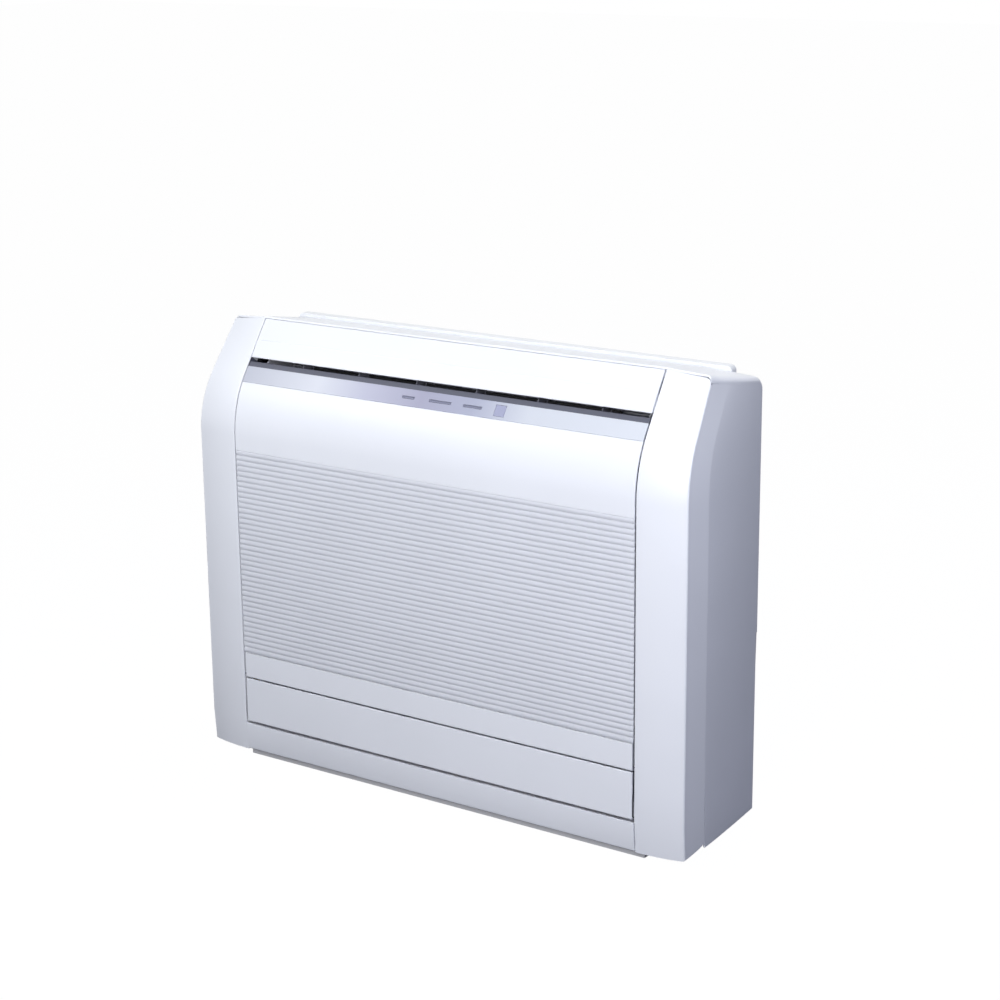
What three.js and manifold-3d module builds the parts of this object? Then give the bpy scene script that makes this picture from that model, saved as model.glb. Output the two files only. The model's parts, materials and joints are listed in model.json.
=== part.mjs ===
// Floor standing air conditioner: the indoor unit that stands on the floor against a wall.
// Millimetres. X runs to the right of someone who looks at the front, Y runs from the front
// towards the wall, Z runs up. The origin is on the floor, under the middle of the unit.
// Room air enters the slatted front panel, passes the filters, the coil and a round inlet,
// and a radial fan throws it up and down to an outlet at the top and one at the bottom.

import * as THREE from 'three';
import { mergeVertices } from 'three/addons/utils/BufferGeometryUtils.js';
import Module from 'manifold-3d';

const wasm = await Module();
wasm.setup();

// ---------------------------------------------------------------- driving dimensions

const WIDTH = 740;
const DEPTH = 200;
const HEIGHT = 600;
const HALF = WIDTH / 2;
const FRONT = -DEPTH / 2;
const REAR = DEPTH / 2;

const WALL = 2.5; // moulded plastic
const FIT = 0.3; // between pieces that touch
const SEAM = 0.7; // visible gap beside the front panel and the flaps

// Front of the unit, seen from the side: upright, then an arc, then a straight lean back.
const UPRIGHT_TOP = HEIGHT - 148;
const ARC_RADIUS = 135;
const LEAN = THREE.MathUtils.degToRad(36);
const TOP_FALL = THREE.MathUtils.degToRad(11.5); // the top falls towards the wall
const TOP_NOSE = 3; // rounding of the front top edge

// Front of the unit, seen from above: flat panel between two wings that curve back.
const SEAM_X = HALF - 69; // inner face of each wing
const EDGE_X = HALF - 4; // front corner of each wing
const WING_SWEEP = 8; // how far the corner lies behind the flat front
const WING_DROP = 5; // how far the top is lower at the sides
const BAND_DEPTH = 45; // side band behind the corner
const RETURN_DEPTH = 19; // wall of the wing beside the panel

// Heights of the lines across the front.
const SKIRT_BOTTOM = 7;
const WING_BOTTOM = 6;
const SIDE_BOTTOM = 11;
const SKIRT_TOP = 45.5;
const FLAP_GAP = 3.5; // dark gap under the lower flap
const PANEL_BOTTOM = 113;
const GRILLE_BOTTOM = 149;
const GRILLE_TOP = HEIGHT - 167;
const STRIP_BOTTOM = HEIGHT - 77.5;
const STRIP_TOP = HEIGHT - 59;
const SLOT = 10.5; // height of the dark slot under the upper flap

// Layers from the front to the wall.
const FILTER_Y = FRONT + 12.2; // front face of the filters
const FILTER_THICK = 3.4;
const FRAME_Y = FRONT + 16.7; // front face of the inner frame
const COIL_Y = FRONT + 24; // front face of the coil
const COIL_THICK = 31;
const INLET_Y = FRONT + 60; // front face of the plate with the round inlet
const FAN_FRONT_Y = FRONT + 70; // front edge of the fan
const FAN_BACK_Y = REAR - 62; // back plate of the fan
const MOTOR_Y = REAR - 54; // front face of the fan motor
const MOTOR_THICK = 40;
const CASING_Y = REAR - 6; // front face of the rear casing

// Across the unit, behind the front panel.
const DUCT_HALF = SEAM_X - 13; // outer face of the ducts' cheeks
const COIL_HALF = DUCT_HALF - 20;
const PAN_HALF = DUCT_HALF + 2;
const FILTER_HALF = DUCT_HALF + 2;

// Up the unit, behind the front panel.
const PAN_Z0 = PANEL_BOTTOM + 3;
const PAN_Z1 = PAN_Z0 + 30;
const COIL_Z0 = PAN_Z0 + 10;
const COIL_Z1 = UPRIGHT_TOP;
const WINDOW_Z0 = GRILLE_BOTTOM + 1; // window of the inner frame
const WINDOW_Z1 = GRILLE_TOP + 11;
const INLET_TOP = HEIGHT - 126;
const SCROLL_TOP = INLET_TOP - 4;
const SCROLL_BOTTOM = PAN_Z0 + 14;

// The fan fills the height between the two ducts.
const FAN_Z = (SCROLL_TOP + SCROLL_BOTTOM) / 2;
const FAN_RADIUS = (SCROLL_TOP - SCROLL_BOTTOM) / 2 - 12;
const FAN_EYE = FAN_RADIUS - 39; // radius of the fan's inlet
const SHAFT_RADIUS = 4;

// ---------------------------------------------------------------- finishes

function plastic(color, roughness = 0.45) {
  return new THREE.MeshStandardMaterial({ color, roughness, metalness: 0 });
}

function metal(color, roughness = 0.35) {
  return new THREE.MeshStandardMaterial({ color, roughness, metalness: 1 });
}

const white = plastic('#eceef4');
const grilleGrey = plastic('#d3d6e2');
const lilac = plastic('#c9c6de', 0.3);
const paleGrey = plastic('#a9acb8');
const darkGrey = plastic('#3b3d44', 0.6);
const zinc = metal('#b4b8bd');
const fins = metal('#c9ced4', 0.45);
const copper = metal('#b87350');
const brass = metal('#c7a253');
const boardGreen = plastic('#2e5e3f', 0.5);
const filterBlue = plastic('#6f8fb4', 0.7);
const lampClear = plastic('#dfe6ea', 0.15);

// ---------------------------------------------------------------- shape helpers

// A closed mesh whose shared corners are merged, as a solid.
function solid(geometry) {
  const bare = geometry.index ? geometry.toNonIndexed() : geometry.clone();
  bare.deleteAttribute('normal');
  bare.deleteAttribute('uv');
  const merged = mergeVertices(bare, 1e-4);
  return new wasm.Manifold(new wasm.Mesh({
    numProp: 3,
    vertProperties: new Float32Array(merged.attributes.position.array),
    triVerts: new Uint32Array(merged.index.array),
  }));
}

function geometryOf(body) {
  const mesh = body.getMesh();
  const geometry = new THREE.BufferGeometry();
  geometry.setAttribute('position', new THREE.BufferAttribute(mesh.vertProperties, 3));
  geometry.setIndex(new THREE.BufferAttribute(mesh.triVerts, 1));
  return geometry;
}

function join(...parts) {
  return parts.reduce((sum, part) => sum.add(part));
}

function cut(body, ...tools) {
  return tools.reduce((rest, tool) => rest.subtract(tool), body);
}

function box(x0, x1, y0, y1, z0, z1) {
  const geometry = new THREE.BoxGeometry(x1 - x0, y1 - y0, z1 - z0);
  return solid(geometry.translate((x0 + x1) / 2, (y0 + y1) / 2, (z0 + z1) / 2));
}

// An outline run through a list of stations. place turns outline and station into a point.
function swept(points, stations, place) {
  const shape = new THREE.Shape(points.map(([a, b]) => new THREE.Vector2(a, b)));
  const runs = stations.length - 1;
  const geometry = new THREE.ExtrudeGeometry(shape, { depth: runs, steps: runs, bevelEnabled: false });
  const at = geometry.attributes.position;
  for (let i = 0; i < at.count; i += 1) {
    at.setXYZ(i, ...place(at.getX(i), at.getY(i), stations[Math.round(at.getZ(i))]));
  }
  return solid(geometry);
}

// Outlines in (y, z) run along X, in (x, z) along Y, and in (x, y) along Z.
const alongX = (points, x0, x1) => swept(points, [x0, x1], (y, z, x) => [x, y, z]);
const alongY = (points, y0, y1) => swept(points, [y1, y0], (x, z, y) => [x, y, z]);
const alongZ = (points, z0, z1) => swept(points, [z0, z1], (x, y, z) => [x, y, z]);

function rodX(radius, x0, x1, y, z, sides = 20) {
  const geometry = new THREE.CylinderGeometry(radius, radius, x1 - x0, sides);
  return solid(geometry.rotateZ(-Math.PI / 2).translate((x0 + x1) / 2, y, z));
}

function rodY(radius, y0, y1, x, z, sides = 20) {
  const geometry = new THREE.CylinderGeometry(radius, radius, y1 - y0, sides);
  return solid(geometry.translate(x, (y0 + y1) / 2, z));
}

// A profile of (radius, y) turned about the fan's axis.
function turned(points, sides = 40) {
  const outline = [...points, points[0]].map(([r, y]) => new THREE.Vector2(r, y));
  if (THREE.ShapeUtils.isClockWise(outline)) outline.reverse();
  return solid(new THREE.LatheGeometry(outline, sides).translate(0, 0, FAN_Z));
}

// A round bar along a curve.
function bar(path, radius, sides, steps) {
  const ring = [...Array(sides).keys()].map((i) => {
    const turn = (i / sides) * 2 * Math.PI;
    return new THREE.Vector2(radius * Math.cos(turn), radius * Math.sin(turn));
  });
  return solid(new THREE.ExtrudeGeometry(new THREE.Shape(ring), { steps, extrudePath: path }));
}

// Straight runs with round corners, as one curve.
function bentPath(corners, bend) {
  const points = corners.map(([x, y, z]) => new THREE.Vector3(x, y, z));
  const path = new THREE.CurvePath();
  let start = points[0];
  for (let i = 1; i < points.length - 1; i += 1) {
    const before = points[i].clone().sub(points[i - 1]).normalize();
    const after = points[i + 1].clone().sub(points[i]).normalize();
    const into = points[i].clone().addScaledVector(before, -bend);
    const out = points[i].clone().addScaledVector(after, bend);
    path.add(new THREE.LineCurve3(start, into));
    path.add(new THREE.QuadraticBezierCurve3(into, points[i], out));
    start = out;
  }
  path.add(new THREE.LineCurve3(start, points[points.length - 1]));
  return path;
}

// Replaces corner b of the path a, b, c by an arc that touches both sides.
function fillet(a, b, c, radius, steps) {
  const toA = new THREE.Vector2(a[0] - b[0], a[1] - b[1]).normalize();
  const toC = new THREE.Vector2(c[0] - b[0], c[1] - b[1]).normalize();
  const half = toA.angleTo(toC) / 2;
  const middle = toA.clone().add(toC).normalize().multiplyScalar(radius / Math.sin(half));
  const centre = new THREE.Vector2(...b).add(middle);
  const reach = radius / Math.tan(half);
  const first = new THREE.Vector2(...b).addScaledVector(toA, reach).sub(centre);
  const last = new THREE.Vector2(...b).addScaledVector(toC, reach).sub(centre);
  let turn = last.angle() - first.angle();
  if (turn > Math.PI) turn -= 2 * Math.PI;
  if (turn < -Math.PI) turn += 2 * Math.PI;
  return [...Array(steps + 1).keys()].map((i) => {
    const angle = first.angle() + (turn * i) / steps;
    return [centre.x + radius * Math.cos(angle), centre.y + radius * Math.sin(angle)];
  });
}

function circle(cx, cy, radius, from, to, steps) {
  return [...Array(steps + 1).keys()].map((i) => {
    const angle = from + ((to - from) * i) / steps;
    return [cx + radius * Math.cos(angle), cy + radius * Math.sin(angle)];
  });
}

const group = new THREE.Group();

function add(name, body, material) {
  const mesh = new THREE.Mesh(geometryOf(body), material);
  mesh.geometry.computeVertexNormals();
  mesh.name = name;
  group.add(mesh);
}

const SIDES = [[-1, 'left'], [1, 'right']];

// The range of x from a to b on one side of the unit.
const span = (side, a, b) => (side > 0 ? [a, b] : [-b, -a]);

// ---------------------------------------------------------------- outer form

const ARC_TOP = UPRIGHT_TOP + ARC_RADIUS * Math.sin(LEAN);
const ARC_BACK = ARC_RADIUS * (1 - Math.cos(LEAN));
const ARC_STEPS = 8;

// How far back the front surface lies at a height.
function frontY(z) {
  if (z <= UPRIGHT_TOP) return FRONT;
  if (z >= ARC_TOP) return FRONT + ARC_BACK + (z - ARC_TOP) * Math.tan(LEAN);
  return FRONT + ARC_RADIUS - Math.sqrt(ARC_RADIUS ** 2 - (z - UPRIGHT_TOP) ** 2);
}

const TOP_EDGE_Y = frontY(HEIGHT); // where the lean meets the top

function topZ(y) {
  return HEIGHT - (y - TOP_EDGE_Y) * Math.tan(TOP_FALL);
}

// 0 at the seam, 1 at the wing's corner.
function wingShare(x) {
  return Math.max(0, (Math.abs(x) - SEAM_X) / (EDGE_X - SEAM_X));
}

const sweepBack = (x) => WING_SWEEP * Math.min(1, wingShare(x)) ** 2;

// The sides of the top lie a little lower than its middle.
function sideDrop(x, z) {
  const share = THREE.MathUtils.clamp((z - UPRIGHT_TOP) / (HEIGHT - UPRIGHT_TOP), 0, 1);
  return WING_DROP * wingShare(x) * share;
}

// Heights of the points that a skin needs between two levels.
function levels(z0, z1) {
  const bends = [...Array(ARC_STEPS + 1).keys()]
    .map((i) => UPRIGHT_TOP + ((ARC_TOP - UPRIGHT_TOP) * i) / ARC_STEPS);
  return [z0, ...bends.filter((z) => z > z0 + 1 && z < z1 - 1), z1];
}

// Outline in (y, z) of a wall that follows the front, set back and of a given thickness.
function frontSkin(z0, z1, thickness, back = 0) {
  const outer = levels(z0, z1).map((z) => [frontY(z) + back, z]);
  const inner = levels(z0, z1).map((z) => [frontY(z) + back + thickness, z]).reverse();
  return [...outer, ...inner];
}

// Where the front surface meets a plane that lies below the top.
function underTop(drop) {
  const z = HEIGHT - drop / (1 + Math.tan(LEAN) * Math.tan(TOP_FALL));
  return [frontY(z), z];
}

// A point by its distances up the lean and into the unit, from the front surface at a height.
function onLean(z0, up, into) {
  return [
    frontY(z0) + up * Math.sin(LEAN) + into * Math.cos(LEAN),
    z0 + up * Math.cos(LEAN) - into * Math.sin(LEAN),
  ];
}

// Everything above a plane under the top, between two values of x.
function aboveTop(drop, x0, x1) {
  const near = TOP_EDGE_Y - DEPTH;
  const far = REAR + DEPTH;
  const outline = [
    [near, topZ(near) - drop], [far, topZ(far) - drop],
    [far, topZ(near) + DEPTH], [near, topZ(near) + DEPTH],
  ];
  return alongX(outline, x0, x1);
}

// ---------------------------------------------------------------- hinge lines, as (y, z)

const FLAP_Z0 = STRIP_TOP + SLOT;
const UPPER_AXIS = onLean(FLAP_Z0, 9, 9);
const LOWER_FLAP_Z0 = SKIRT_TOP + FLAP_GAP;
const LOWER_AXIS = [FRONT + 10, LOWER_FLAP_Z0 + 7];
const PANEL_AXIS = [FRONT + 3.6, PANEL_BOTTOM + 3.6];
const PIN_RADIUS = 3;
const PANEL_PIN_RADIUS = 1.8;
const PIN_LENGTH = 8.5; // beyond the end of a flap
const PANEL_HALF = SEAM_X - SEAM;

// ---------------------------------------------------------------- casing

const COVER_GAP = WALL + FIT; // from the top down to what lies under the cover
const LIP = 4; // how far the cover's side edges turn down
const LIP_X = HALF - WALL - FIT;
const CORNER_RADIUS = 13; // lower outer corner of each wing
const PLINTH_HALF = HALF - 30;
const PLINTH_HEIGHT = 10;
const PLINTH_WALL = 4;
const PLINTH_FRONT = FRONT + 6;
const BAND_BACK = WING_SWEEP + BAND_DEPTH;

function wingOutline(side) {
  const stations = [0.02, 0.25, 0.5, 0.75, 1].map((t) => SEAM_X + t * (EDGE_X - SEAM_X));
  const outer = stations.map((x) => [x, sweepBack(x)]);
  const inner = stations.map((x) => [
    Math.max(x - WALL * wingShare(x), SEAM_X + WALL), sweepBack(x) + WALL,
  ]);
  const outline = [
    [SEAM_X, RETURN_DEPTH], [SEAM_X, 1], ...outer, [EDGE_X + 1.2, WING_SWEEP + 1.5],
    [HALF, BAND_BACK], [HALF - WALL, BAND_BACK], ...inner.reverse(), [SEAM_X + WALL, RETURN_DEPTH],
  ];
  return outline.map(([x, y]) => [side * x, y + FRONT]);
}

function cornerCutter(side) {
  const x = HALF - CORNER_RADIUS;
  const z = WING_BOTTOM + CORNER_RADIUS;
  const below = WING_BOTTOM - 1;
  const outline = [
    [x, below], ...circle(x, z, CORNER_RADIUS, -Math.PI / 2, 0, 6), [HALF + 1, z], [HALF + 1, below],
  ];
  return alongY(outline.map(([px, pz]) => [side * px, pz]), FRONT - 1, FRONT + BAND_BACK + 1);
}

function pinHoles(side) {
  const [x0, x1] = span(side, SEAM_X - 1, SEAM_X + WALL + 1);
  return [
    rodX(PIN_RADIUS + FIT, x0, x1, ...UPPER_AXIS),
    rodX(PIN_RADIUS + FIT, x0, x1, ...LOWER_AXIS),
    rodX(PANEL_PIN_RADIUS + FIT, x0, x1, ...PANEL_AXIS),
  ];
}

function wing(side) {
  const overPlinth = box(...span(side, SEAM_X - 1, HALF), PLINTH_FRONT - FIT, FRONT + RETURN_DEPTH + 1,
    WING_BOTTOM - 1, PLINTH_HEIGHT + FIT);
  const upright = swept(wingOutline(side), levels(WING_BOTTOM, HEIGHT + 8),
    (x, y, z) => [x, y + frontY(z) - FRONT, z]);
  const overhead = [
    aboveTop(COVER_GAP, ...span(side, SEAM_X - 1, HALF + 1)),
    aboveTop(COVER_GAP + LIP, ...span(side, LIP_X, HALF + 1)),
  ];
  return lowered(cut(upright, ...overhead, cornerCutter(side), overPlinth, ...pinHoles(side)));
}

// Moves a finished casing piece down at its sides, to the crown of the top.
function lowered(body) {
  return body.warp((at) => {
    at[2] -= sideDrop(at[0], at[2]);
  });
}

const NOTCH_TOP = 238; // below this the rear edge clears a skirting board
const NOTCH_DEPTH = 3;
const REAR_CORNER = 10; // rounding of the cover above the wall
const PANEL_CORNER = 5;

function sidePanel(side) {
  const outline = [
    ...levels(SIDE_BOTTOM, HEIGHT).map((z) => [frontY(z) + BAND_BACK + FIT, z]),
    [REAR, HEIGHT], [REAR, NOTCH_TOP + NOTCH_DEPTH], [REAR - NOTCH_DEPTH, NOTCH_TOP],
    [REAR - NOTCH_DEPTH, SIDE_BOTTOM],
  ];
  const plate = alongX(outline, ...span(side, HALF - WALL, HALF));
  const reach = span(side, HALF - WALL - 1, HALF + 1);
  const drop = COVER_GAP + LIP;
  return lowered(cut(plate, aboveTop(drop, ...reach), beyondCorner(drop, PANEL_CORNER, ...reach)));
}

// Everything behind the rounded upper rear edge of a piece that ends a drop below the top.
function beyondCorner(drop, radius, x0, x1) {
  const arc = fillet([0, topZ(0) - drop], [REAR, topZ(REAR) - drop], [REAR, 0], radius, 4);
  return alongX([...arc, [REAR + 1, arc[4][1]], [REAR + 1, HEIGHT], [arc[0][0], HEIGHT]], x0, x1);
}

const CASING_HALF = HALF - WALL - FIT;
const CASING_TOP = topZ(REAR) - REAR_CORNER - FIT;
const RAIL_DEPTH = 14;
const RAIL_HALF = HALF - 38;
const RAIL_RISE = 4.5; // above the falling top
const RAIL_ROUND = 7;

function topCover() {
  const outline = (thickness) => {
    const edge = [TOP_EDGE_Y, HEIGHT];
    return [
      underTop(thickness), ...fillet(underTop(thickness), edge, [REAR, topZ(REAR)], TOP_NOSE, 4),
      [REAR, topZ(REAR)], [REAR, topZ(REAR) - thickness],
    ];
  };
  const frontShare = (y) => THREE.MathUtils.clamp((0 - y) / -TOP_EDGE_Y, 0, 1);
  const place = (y, z, x) => [x, y + sweepBack(x) * frontShare(y), z];
  const wings = [0, 0.25, 0.5, 0.75, 1].map((t) => SEAM_X + t * (EDGE_X - SEAM_X));
  const stations = [-HALF, ...wings.map((x) => -x).reverse(), ...wings, HALF];
  const plate = swept(outline(WALL), stations, place);
  const lips = SIDES.map(([side]) => swept(outline(WALL + LIP), span(side, HALF - WALL, HALF), place));
  const forRail = box(-RAIL_HALF - FIT, RAIL_HALF + FIT, REAR - RAIL_DEPTH - FIT, REAR + 1, 0, HEIGHT);
  return lowered(cut(join(plate, ...lips), forRail, beyondCorner(0, REAR_CORNER, -HALF - 1, HALF + 1)));
}

function rearRail() {
  const y0 = REAR - RAIL_DEPTH;
  const top = topZ(y0) + RAIL_RISE;
  const bottom = CASING_TOP + FIT;
  const outline = [
    [-RAIL_HALF, bottom], [RAIL_HALF, bottom],
    ...fillet([RAIL_HALF, bottom], [RAIL_HALF, top], [0, top], RAIL_ROUND, 4),
    ...fillet([0, top], [-RAIL_HALF, top], [-RAIL_HALF, bottom], RAIL_ROUND, 4),
  ];
  return alongY(outline, y0, REAR);
}

function skirt() {
  const shelf = box(-PANEL_HALF, PANEL_HALF, FRONT, FRONT + 5.7, SKIRT_BOTTOM, SKIRT_BOTTOM + WALL);
  return join(box(-PANEL_HALF, PANEL_HALF, FRONT, FRONT + WALL, SKIRT_BOTTOM, SKIRT_TOP), shelf);
}

function plinth() {
  const outer = box(-PLINTH_HALF, PLINTH_HALF, PLINTH_FRONT, REAR - NOTCH_DEPTH - 1, 0, PLINTH_HEIGHT);
  const inner = box(-PLINTH_HALF + PLINTH_WALL, PLINTH_HALF - PLINTH_WALL, PLINTH_FRONT + PLINTH_WALL,
    REAR - NOTCH_DEPTH - 1 - PLINTH_WALL, 3, PLINTH_HEIGHT + 1);
  return cut(outer, inner);
}

const RIM = 20; // flat border of the rear casing, which meets the wall
const RECESS_DEPTH = 3; // room for the wall bracket
const BRACKET_HALF = 160;
const BRACKET_HEIGHT = 60;

function rearCasing() {
  const plate = box(-CASING_HALF, CASING_HALF, CASING_Y, REAR, NOTCH_TOP, CASING_TOP);
  const low = box(-CASING_HALF, CASING_HALF, CASING_Y, REAR - NOTCH_DEPTH, PLINTH_HEIGHT + FIT,
    NOTCH_TOP + 1);
  const recess = box(-CASING_HALF + RIM, CASING_HALF - RIM, REAR - RECESS_DEPTH, REAR + 1,
    NOTCH_TOP + RIM, CASING_TOP - 2 * RIM);
  return cut(join(plate, low), recess);
}

function wallBracket() {
  const z0 = CASING_TOP - 3 * RIM - BRACKET_HEIGHT;
  const plate = box(-BRACKET_HALF, BRACKET_HALF, REAR - RECESS_DEPTH + FIT, REAR - FIT, z0,
    z0 + BRACKET_HEIGHT);
  const slots = [-2, -1, 0, 1, 2].map((i) => {
    const x = (i * BRACKET_HALF * 3) / 8;
    return box(x - 9, x + 9, REAR - 4, REAR + 1, z0 + 36, z0 + 42);
  });
  return cut(plate, ...slots);
}

SIDES.forEach(([side, name]) => add(`${name}_wing`, wing(side), white));
SIDES.forEach(([side, name]) => add(`${name}_side_panel`, sidePanel(side), white));
add('top_cover', topCover(), white);
add('rear_top_rail', rearRail(), paleGrey);
add('bottom_skirt', skirt(), white);
add('base_plinth', plinth(), white);
add('rear_casing', rearCasing(), paleGrey);
add('wall_bracket', wallBracket(), zinc);

// ---------------------------------------------------------------- front panel

const RAIL_INNER = PANEL_HALF - 12; // side rails behind the slats
const SLAT_DEPTH = 5;
const RAIL_OVER = 12; // the side rails end this far above the slats
const RAIL_THICK = 4;
const SLAT_COUNT = 39;
const SLAT_SHARE = 0.68; // of the pitch that is slat
const PANEL_TOP = STRIP_BOTTOM - SEAM;

function frontPanelShell() {
  const upper = alongX(frontSkin(GRILLE_TOP + FIT, PANEL_TOP, WALL), -PANEL_HALF, PANEL_HALF);
  const lower = box(-PANEL_HALF, PANEL_HALF, FRONT, FRONT + WALL, PANEL_BOTTOM, GRILLE_BOTTOM - FIT);
  const foot = box(-PANEL_HALF, PANEL_HALF, FRONT, FRONT + 7, PANEL_BOTTOM, PANEL_BOTTOM + WALL);
  const railY = FRONT + SLAT_DEPTH + FIT;
  const railBack = railY + RAIL_THICK;
  const railTop = GRILLE_TOP + RAIL_OVER;
  const parts = SIDES.map(([side]) => {
    const x = span(side, RAIL_INNER, PANEL_HALF);
    const pin = span(side, PANEL_HALF - 4, PANEL_HALF + SEAM + WALL + 1);
    return join(
      box(...x, railY, railBack, PANEL_BOTTOM, railTop),
      box(...x, FRONT + 1, railBack, PANEL_BOTTOM, GRILLE_BOTTOM - FIT),
      box(...x, FRONT + 1, railBack, GRILLE_TOP + FIT, railTop),
      rodX(PANEL_PIN_RADIUS, ...pin, ...PANEL_AXIS, 12),
    );
  });
  const edge = fillet([FRONT, GRILLE_BOTTOM], [FRONT, PANEL_BOTTOM], [REAR, PANEL_BOTTOM], 2.5, 3);
  const round = alongX([[FRONT - 1, PANEL_BOTTOM + 3], [FRONT, edge[0][1]], ...edge,
    [edge[3][0], PANEL_BOTTOM - 1], [FRONT - 1, PANEL_BOTTOM - 1]], -PANEL_HALF - 1, PANEL_HALF + 1);
  return cut(join(upper, lower, foot, ...parts), round);
}

function intakeGrille() {
  const pitch = (GRILLE_TOP - GRILLE_BOTTOM) / SLAT_COUNT;
  const slats = [...Array(SLAT_COUNT).keys()].map((i) => {
    const z = GRILLE_BOTTOM + (i + 0.5) * pitch;
    const half = (pitch * SLAT_SHARE) / 2;
    return box(-PANEL_HALF, PANEL_HALF, FRONT, FRONT + SLAT_DEPTH, z - half, z + half);
  });
  const ribs = [-1, -1 / 3, 1 / 3, 1].map((share) => {
    const x = share * (PANEL_HALF - 3);
    return box(x - 1.5, x + 1.5, FRONT + 2.5, FRONT + SLAT_DEPTH - 0.2, GRILLE_BOTTOM + 1, GRILLE_TOP - 1);
  });
  return join(...slats, ...ribs);
}

add('front_panel_shell', frontPanelShell(), white);
add('intake_grille', intakeGrille(), grilleGrey);

// ---------------------------------------------------------------- flaps

const FLAP_THICK = 3;
const BULGE = 1.2; // the upper flap is fuller than the wings' lean
const CREASE = 0.45; // height of the crease, as a share of the flap

function upperFlap() {
  const length = (underTop(COVER_GAP)[1] - SEAM - FLAP_Z0) / Math.cos(LEAN);
  const shares = [0, 0.12, CREASE - 0.04, CREASE, CREASE + 0.04, 0.8, 1];
  const fullness = [-0.6, 0.6, 1, 0.2, 0.9, 0.8, 0];
  const outer = shares.map((share, i) => onLean(FLAP_Z0, share * length, -BULGE * fullness[i]));
  const inner = shares.map((share) => onLean(FLAP_Z0, share * length, FLAP_THICK)).reverse();
  const skin = alongX([...outer, ...inner], -PANEL_HALF, PANEL_HALF);
  const arm = (x0, x1) => alongX([onLean(FLAP_Z0, 2, 2), onLean(FLAP_Z0, 26, 2), onLean(FLAP_Z0, 24, 6),
    onLean(FLAP_Z0, 12, 13), onLean(FLAP_Z0, 6, 13), onLean(FLAP_Z0, 4, 8)], x0, x1);
  const ends = SIDES.map(([side]) => join(
    arm(...span(side, PANEL_HALF - 5, PANEL_HALF)),
    rodX(PIN_RADIUS, ...span(side, PANEL_HALF - 3, PANEL_HALF + PIN_LENGTH), ...UPPER_AXIS),
  ));
  return join(skin, ...ends);
}

const LOWER_FLAP_TOP = PANEL_BOTTOM - 1.4;

function lowerFlap() {
  const [y, z] = LOWER_AXIS;
  const skin = alongX([
    ...fillet([FRONT + 5, LOWER_FLAP_Z0], [FRONT, LOWER_FLAP_Z0], [FRONT, LOWER_FLAP_TOP], 2, 2),
    ...fillet([FRONT, LOWER_FLAP_Z0], [FRONT, LOWER_FLAP_TOP], [FRONT + 5, LOWER_FLAP_TOP], 1, 2),
    [FRONT + FLAP_THICK, LOWER_FLAP_TOP], [FRONT + FLAP_THICK + 1, z + 12], [FRONT + 5, z],
    [FRONT + FLAP_THICK, LOWER_FLAP_Z0],
  ], -PANEL_HALF, PANEL_HALF);
  const arm = [
    [FRONT + 1, z - 4], [y, z - 4.5], [y + 4, z - 2], [y + 4, z + 2], [y, z + 6], [FRONT + 1, z + 30],
  ];
  const ends = SIDES.map(([side]) => join(
    alongX(arm, ...span(side, PANEL_HALF - 5, PANEL_HALF)),
    rodX(PIN_RADIUS, ...span(side, PANEL_HALF - 3, PANEL_HALF + PIN_LENGTH), ...LOWER_AXIS),
  ));
  return join(skin, ...ends);
}

const STEPPER_RADIUS = 12;
const STEPPER_LENGTH = 20;
const STEPPER_OFFSET = 8; // the shaft stands off the middle of the motor

// A small gear motor on the left wing, whose hub takes the flap's pin.
function stepper(axis, deeper) {
  const [y, z] = axis;
  const x1 = -SEAM_X - WALL - FIT;
  const [cy, cz] = [y + deeper[0] * STEPPER_OFFSET, z + deeper[1] * STEPPER_OFFSET];
  const can = rodX(STEPPER_RADIUS, x1 - STEPPER_LENGTH, x1, cy, cz, 24);
  const ears = box(x1 - 1.2, x1, cy - 2.5, cy + 2.5, cz - 17, cz + 17);
  return cut(join(can, ears), rodX(PIN_RADIUS + FIT, x1 - 7, x1 + 1, y, z));
}

add('upper_flap', upperFlap(), white);
add('lower_flap', lowerFlap(), white);
add('upper_flap_motor', stepper(UPPER_AXIS, [Math.cos(LEAN), -Math.sin(LEAN)]), zinc);
add('lower_flap_motor', stepper(LOWER_AXIS, [1, 0]), zinc);

// ---------------------------------------------------------------- display strip

const STRIP_THICK = 3;
const LAMPS = [ // centre and length along X
  ['lamp_lens_1', -58, 18], ['lamp_lens_2', -10, 32], ['lamp_lens_3', 38, 27],
];
const LAMP_HEIGHT = 3;
const RECEIVER_X = 78;
const RECEIVER_SIZE = 14;

// A block whose faces follow the lean: up and into are ranges from the strip's middle line.
function leaningBlock(x0, x1, up, into, z0 = (STRIP_BOTTOM + STRIP_TOP) / 2) {
  return alongX([onLean(z0, up[0], into[0]), onLean(z0, up[0], into[1]),
    onLean(z0, up[1], into[1]), onLean(z0, up[1], into[0])], x0, x1);
}

function stripWindows(margin) {
  const half = LAMP_HEIGHT / 2 + margin;
  const lamps = LAMPS.map(([, x, length]) => leaningBlock(
    x - length / 2 - margin, x + length / 2 + margin, [-half, half], [-3, 9]));
  const size = RECEIVER_SIZE / 2 + margin;
  return [...lamps, leaningBlock(RECEIVER_X - size, RECEIVER_X + size, [-size, size], [-3, 9])];
}

function indicatorStrip() {
  const skin = frontSkin(STRIP_BOTTOM, STRIP_TOP, STRIP_THICK / Math.cos(LEAN));
  const plate = alongX(skin, -PANEL_HALF, PANEL_HALF);
  return cut(plate, ...stripWindows(FIT));
}

add('indicator_strip', indicatorStrip(), lilac);
LAMPS.forEach(([name, x, length]) => {
  const half = LAMP_HEIGHT / 2;
  add(name, leaningBlock(x - length / 2, x + length / 2, [-half, half], [0.4, 3.4]), lampClear);
});

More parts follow.
